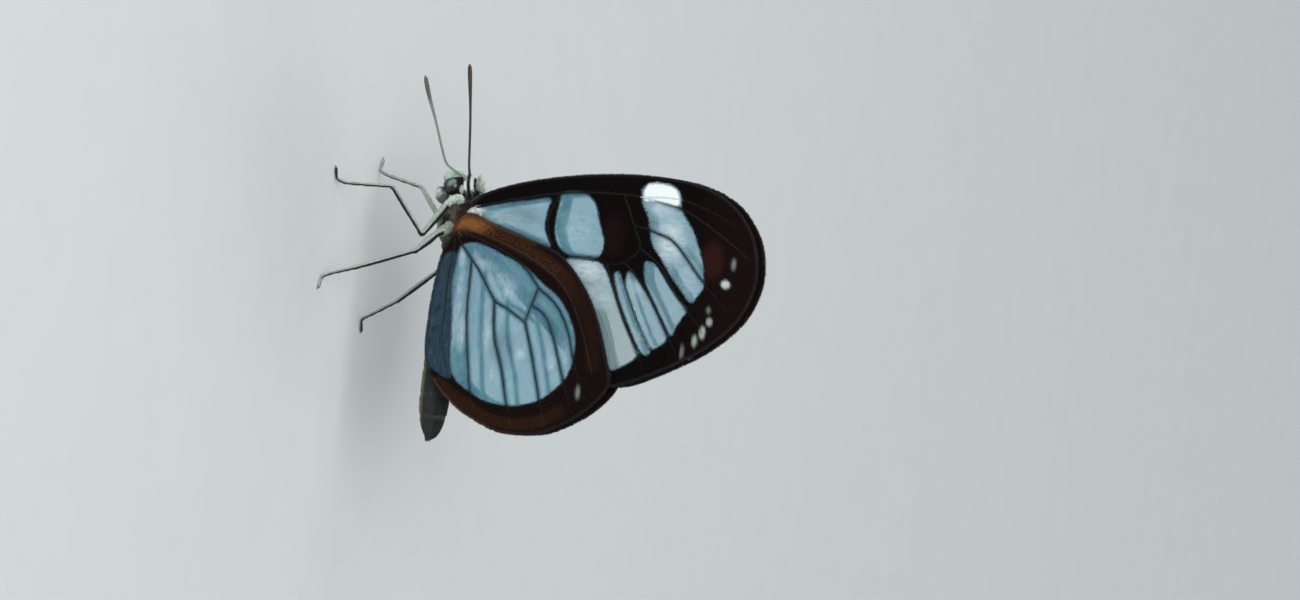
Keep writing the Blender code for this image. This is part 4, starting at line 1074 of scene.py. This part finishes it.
def wing_finish(name, fore):
    made, tree, shader = material(name, Specular_IOR_Level=0.04, Coat_Roughness=0.12)
    over, mix = partial(spread, tree), partial(blend, tree)

    def mark(which):
        return node(tree, "Attribute", {}, attribute_name=which).outputs["Fac"]

    def product(first, second):
        return reckon(tree, "MULTIPLY", first, second)

    def total(first, second):
        return reckon(tree, "ADD", first, second)

    def less(value, whole=1.0):
        return reckon(tree, "SUBTRACT", whole, value)

    def stretched(turn, *scale):
        return node(tree, "Mapping", {"Vector": place_on(tree), "Rotation": (0.0, turn, 0.0),
                                      "Scale": scale}).outputs["Vector"]

    coarse = noise(tree, 1.4, 4.0)
    ragged = product(reckon(tree, "SUBTRACT", noise(tree, 0.13), 0.5), 0.36)
    bare = over(total(mark("opened"), ragged), -0.08, 0.12)
    off_vein = over(total(mark("vein"), ragged), -0.1, 0.26)
    fold = over(mark("tone"), 1.0, 2.0)
    grain = stretched(-0.5, 2600.0, 1.0, 1100.0) if fore else stretched(0.2, 1100.0, 1.0, 3600.0)
    fibre = node(tree, "TexNoise", {"Vector": grain, "Scale": 1.0, "Detail": 4.0,
                                    "Roughness": 0.65}).outputs["Fac"]
    streak = product(over(mark("vein"), 0.0, 0.5, 0.45, 1.0), over(fibre, 0.3, 0.7, 0.25, 1.0))
    # Whitish milky places, partly painted glints of light on the membrane, also make the glass less clear.
    milky = product(mark("milky"), over(fibre, 0.3, 0.7, 0.5, 1.0))
    glass = mix(streak, GLASS_DEEP, GLASS_LIGHT)
    glass = mix(over(coarse, 0.5, 0.72, 0.0, 0.55), glass, GLASS_LILAC)
    if fore:
        glass = mix(over(mark("tone"), 0.0, 1.0), glass, GLASS_DULL)
    glass = mix(mark("deep"), glass, paint(50, 110, 138))
    glass = mix(milky, glass, GLASS_MILKY_GLINT)
    glass = mix(off_vein, paint(26, 50, 58), glass)
    rows = node(tree, "TexVoronoi", {"Vector": stretched(0.0, 1.0, 0.2, 0.55), "Scale": 1.0 / (0.06 * MM)})
    scale_hue = node(tree, "SeparateColor", {"Color": rows.outputs["Color"]}).outputs[0]
    scale_hue = reckon(tree, "MULTIPLY_ADD", scale_hue, 0.5, 0.25)
    varied_hue = over(scale_hue, 0.3, 0.7)
    if fore:
        band = mix(mark("warm"), mix(varied_hue, paint(8, 5, 5), paint(17, 11, 11)), paint(60, 32, 26))
    else:
        glow = reckon(tree, "MULTIPLY_ADD", scale_hue, 1.1, reckon(tree, "SUBTRACT", mark("warm"), 0.55))
        brown = mix(varied_hue, paint(38, 22, 16), paint(56, 34, 24))
        brown = mix(over(glow, 1.1, 2.0), brown, paint(144, 94, 49))
        band = mix(mark("warm"), mix(varied_hue, paint(14, 8, 7), paint(30, 17, 14)), brown)
    band = mix(fold, band, mix(over(fibre, 0.3, 0.7), paint(30, 46, 56), paint(66, 90, 104)))
    pale = over(total(mark("pale"), ragged), -0.1, 0.15)
    colour = mix(pale, mix(bare, band, glass), paint(250, 255, 255))
    colour = mix(mark("faint"), colour, paint(196, 204, 200))
    clear = product(product(bare, less(pale)), less(mark("faint")))
    clear = product(product(clear, less(product(milky, 0.6))), over(off_vein, 0.0, 1.0, 0.15, 1.0))
    clear = reckon(tree, "MAXIMUM", clear, product(fold, 0.3))
    feed(shader, Base_Color=colour, Alpha=over(clear, 0.0, 1.0, 1.0, 0.3),
         Roughness=over(bare, 0.0, 1.0, 0.75, 0.3), Coat_Weight=over(bare, 0.0, 1.0, 0.0, 0.22))
    shingles = product(rows.outputs["Distance"], less(bare, 1.05))
    bump(tree, shader, total(shingles, product(coarse, 0.6)), 0.025, 0.6)
    return made


def bowed(points, fore, side):
    """Takes points of the flat wing to their place beside the body."""
    x, z = points.T
    y = lean(z) if fore else hind_lean(x, z)
    return np.column_stack([x, SIDES[side] * y, z + (FORE_LIFT[side] if fore else 0.0)])


def kind_of(fore):
    return "forewing" if fore else "hindwing"


wing_outlines = {}
for fore, margin in ((True, FORE_MARGIN), (False, HIND_MARGIN)):
    outline = wing_outlines[fore] = smooth_line(margin, 0.15, True)
    low, high = outline.min(0) - SHEET_NET, outline.max(0) + SHEET_NET
    steps = np.ceil((high - low) / SHEET_NET).astype(int)
    form = bmesh.new()
    bmesh.ops.create_grid(form, x_segments=int(steps[0]), y_segments=int(steps[1]), size=0.5)
    bmesh.ops.scale(form, vec=(*(high - low), 1.0), verts=form.verts)
    bmesh.ops.translate(form, vec=(*((low + high) / 2), 0.0), verts=form.verts)
    spots = np.array([vert.co[:2] for vert in form.verts])
    outer = depth_in(spots, outline) < -0.5 * SHEET_NET
    form.verts.ensure_lookup_table()
    bmesh.ops.delete(form, geom=[form.verts[i] for i in np.nonzero(outer)[0]], context="VERTS")
    loose = [vert for vert in form.verts if len(vert.link_faces) == 0]
    bmesh.ops.delete(form, geom=loose, context="VERTS")
    rim = [vert for vert in form.verts if vert.is_boundary]
    feet = distance_to(np.array([vert.co[:2] for vert in rim]), outline)[1]
    for vert, foot in zip(rim, feet):
        vert.co = (*foot, 0.0)
    mesh = bpy.data.meshes.new("flat_wing")
    form.to_mesh(mesh)
    form.free()
    flat = np.array([vert.co[:2] for vert in mesh.vertices])
    finish = wing_finish(kind_of(fore) + "_membrane", fore)
    marks = wing_marks(flat, fore)
    for side in SIDES:
        sheet_mesh = mesh.copy()
        sheet_mesh.name = "membrane_%s_%s" % (kind_of(fore), side)
        sheet_mesh.vertices.foreach_set("co", (bowed(flat, fore, side) * MM).ravel())
        for name, values in marks.items():
            store(sheet_mesh, name, values)
        sheet_mesh.shade_smooth()
        wing = stand(sheet_mesh.name, sheet_mesh)
        shell = wing.modifiers.new("thickness", "SOLIDIFY")
        shell.thickness = SHEET_THICKNESS * MM
        shell.offset = 0.0
        dress(wing, finish)
        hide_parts(kind_of(fore) + "_" + side)

# ---- wings: veins -----------------------------------------------------------------------------
# Hollow tubes of horn that stiffen the membrane: a stout one along the leading edge, the rest
# tapering out from the root to the margin.
vein_finish, tree, shader = material("vein_horn", Roughness=0.55, Specular_IOR_Level=0.2)
fleck = spread(tree, noise(tree, 0.09), 0.35, 0.65, 0.65, 1.0)
feed(shader, Base_Color=blend(tree, 1.0, surface_colour(tree), fleck, "MULTIPLY"))
bump(tree, shader, noise(tree, 0.07), 0.02, 0.6)
STOUT = ("radius", "subcosta", "leading_edge")
for fore, veins, edge in ((True, FORE_VEINS, FORE_MARGIN[1:11]), (False, HIND_VEINS, HIND_MARGIN[1:10])):
    for side in SIDES:
        form = bmesh.new()
        for name, points in {**veins, "leading_edge": edge}.items():
            line = bowed(smooth_line(points, 0.35), fore, side)
            thick = 0.13 if name in STOUT else 0.085
            radii = np.linspace(thick, thick * 0.55, len(line))
            radii[-1] *= 0.4
            add_tube(form, line, radii, 8)
        vein = finish_mesh(form, "veins_%s_%s" % (kind_of(fore), side))
        flat = corners_of(vein.data)[:, [0, 2]] - np.array([0.0, FORE_LIFT[side] if fore else 0.0])
        marks = wing_marks(flat, fore)
        tone = paint(15, 11, 11)
        for share, shade in ((np.minimum(marks["warm"], 1.0) * (0.4 if fore else 0.8), paint(60, 36, 22)),
                             (ramp(marks["warm"], 1.0, 1.6), paint(104, 68, 40)),
                             (ramp(marks["opened"], 0.0, 0.2), paint(34, 56, 66)),
                             (ramp(marks["tone"], 1.2, 1.8), paint(30, 42, 52)),
                             (ramp(marks["pale"], -0.1, 0.1), paint(232, 240, 240))):
            tone = toned(tone, share, shade)
        paint_on(vein.data, tone)
        dress(vein, vein_finish)

# ---- wings: fringes and edge scales -----------------------------------------------------------
# A fringe of narrow scales stands out all round each wing, and single scales reach from the
# bands over the edges of the windows and lie along the veins.
def inward_from(line, outline, reach):
    """Square to a closed line, toward the inside of the outline."""
    ahead = unit(np.roll(line, -1, 0) - np.roll(line, 1, 0))
    square = np.column_stack([ahead[:, 1], -ahead[:, 0]])
    return square * np.where(inside(line + square * reach, outline), 1.0, -1.0)[:, None]


def scale_row(starts, ways, long, wide, face):
    """Scales at their starts, with lengths and widths between two limits, on one face of the wing."""
    count = len(starts)
    return starts, ways, varied(count, *long), varied(count, *wide), np.full(count, face)


for fore, veins, windows in ((True, FORE_VEINS, FORE_WINDOWS.values()), (False, HIND_VEINS, [HIND_WINDOW])):
    outline = wing_outlines[fore]
    low, size = outline.min(0) - 0.6, outline.max(0) - outline.min(0) + 1.2
    for side, sign in SIDES.items():
        scales = []
        rim = smooth_line(outline[:-1:6], 0.04, True)[:-1]
        outward = -inward_from(rim, outline, 0.1)
        for face in (-1.0, 1.0):
            scales.append(scale_row(rim - outward * 0.12 + luck.normal(0, 0.02, rim.shape),
                                    outward + luck.normal(0, 0.1, rim.shape) + np.array([0.2, 0.2]),
                                    (0.26, 0.36), (0.08, 0.12), face))
        for window in windows:
            line = rounded(window)
            edge = smooth_line(line[:-1:2], 0.07, True)[:-1]
            inward = inward_from(edge, line, 0.05)
            for face in (-1.0, 1.0):
                set_back = edge - inward * varied(len(edge), 0.0, 0.2)[:, None]
                slant = inward * 0.5 + luck.normal(0, 0.3, edge.shape) + np.array([0.35, 0.45])
                scales.append(scale_row(set_back, slant, (0.12, 0.24), (0.05, 0.08), face))
        for points in veins.values():
            line = smooth_line(points, 0.06)
            ahead = np.gradient(line, axis=0)
            aside = unit(np.column_stack([ahead[:, 1], -ahead[:, 0]]))
            for face in (-1.0, 1.0):
                off = luck.normal(0, 0.06, len(line))[:, None]
                ways = unit(ahead) + aside * np.sign(off) * 0.3 + luck.normal(0, 0.15, line.shape)
                scales.append(scale_row(line + aside * off, ways, (0.12, 0.22), (0.035, 0.055), face))
        starts, ways, lengths, widths, faces = map(np.concatenate, zip(*scales))
        roots = bowed(starts, fore, side)
        ahead = unit(bowed(starts + unit(ways) * 0.1, fore, side) - roots)
        out = np.zeros_like(roots)
        out[:, 1] = sign * faces
        roots = roots + out * SHEET_THICKNESS * 0.35
        marks = wing_marks(starts, fore)
        tone = toned(paint(18, 12, 11), marks["warm"] * (0.5 if fore else 1.0), paint(78, 48, 28))
        for share, shade in ((ramp(marks["tone"], 1.2, 1.8), paint(40, 56, 68)),
                             (ramp(marks["opened"], 0.15, 0.4), paint(30, 52, 60)),
                             (ramp(marks["pale"], -0.05, 0.1), WHITE)):
            tone = toned(tone, share, shade)
        flat = (starts - low) / size
        flat[:, 0] = (flat[:, 0] + (faces > 0)) / 2
        for part in range(2):
            half = np.arange(len(roots)) % 2 == part
            add_tufts("scales_%s_%s_%d" % (kind_of(fore), side, part + 1), roots[half],
                      ahead[half] + out[half] * 0.12, out[half], lengths[half], widths[half], 0.018, 0.0,
                      tinted(tone, 0.15)[half], np.clip(flat[half], 0, 1))
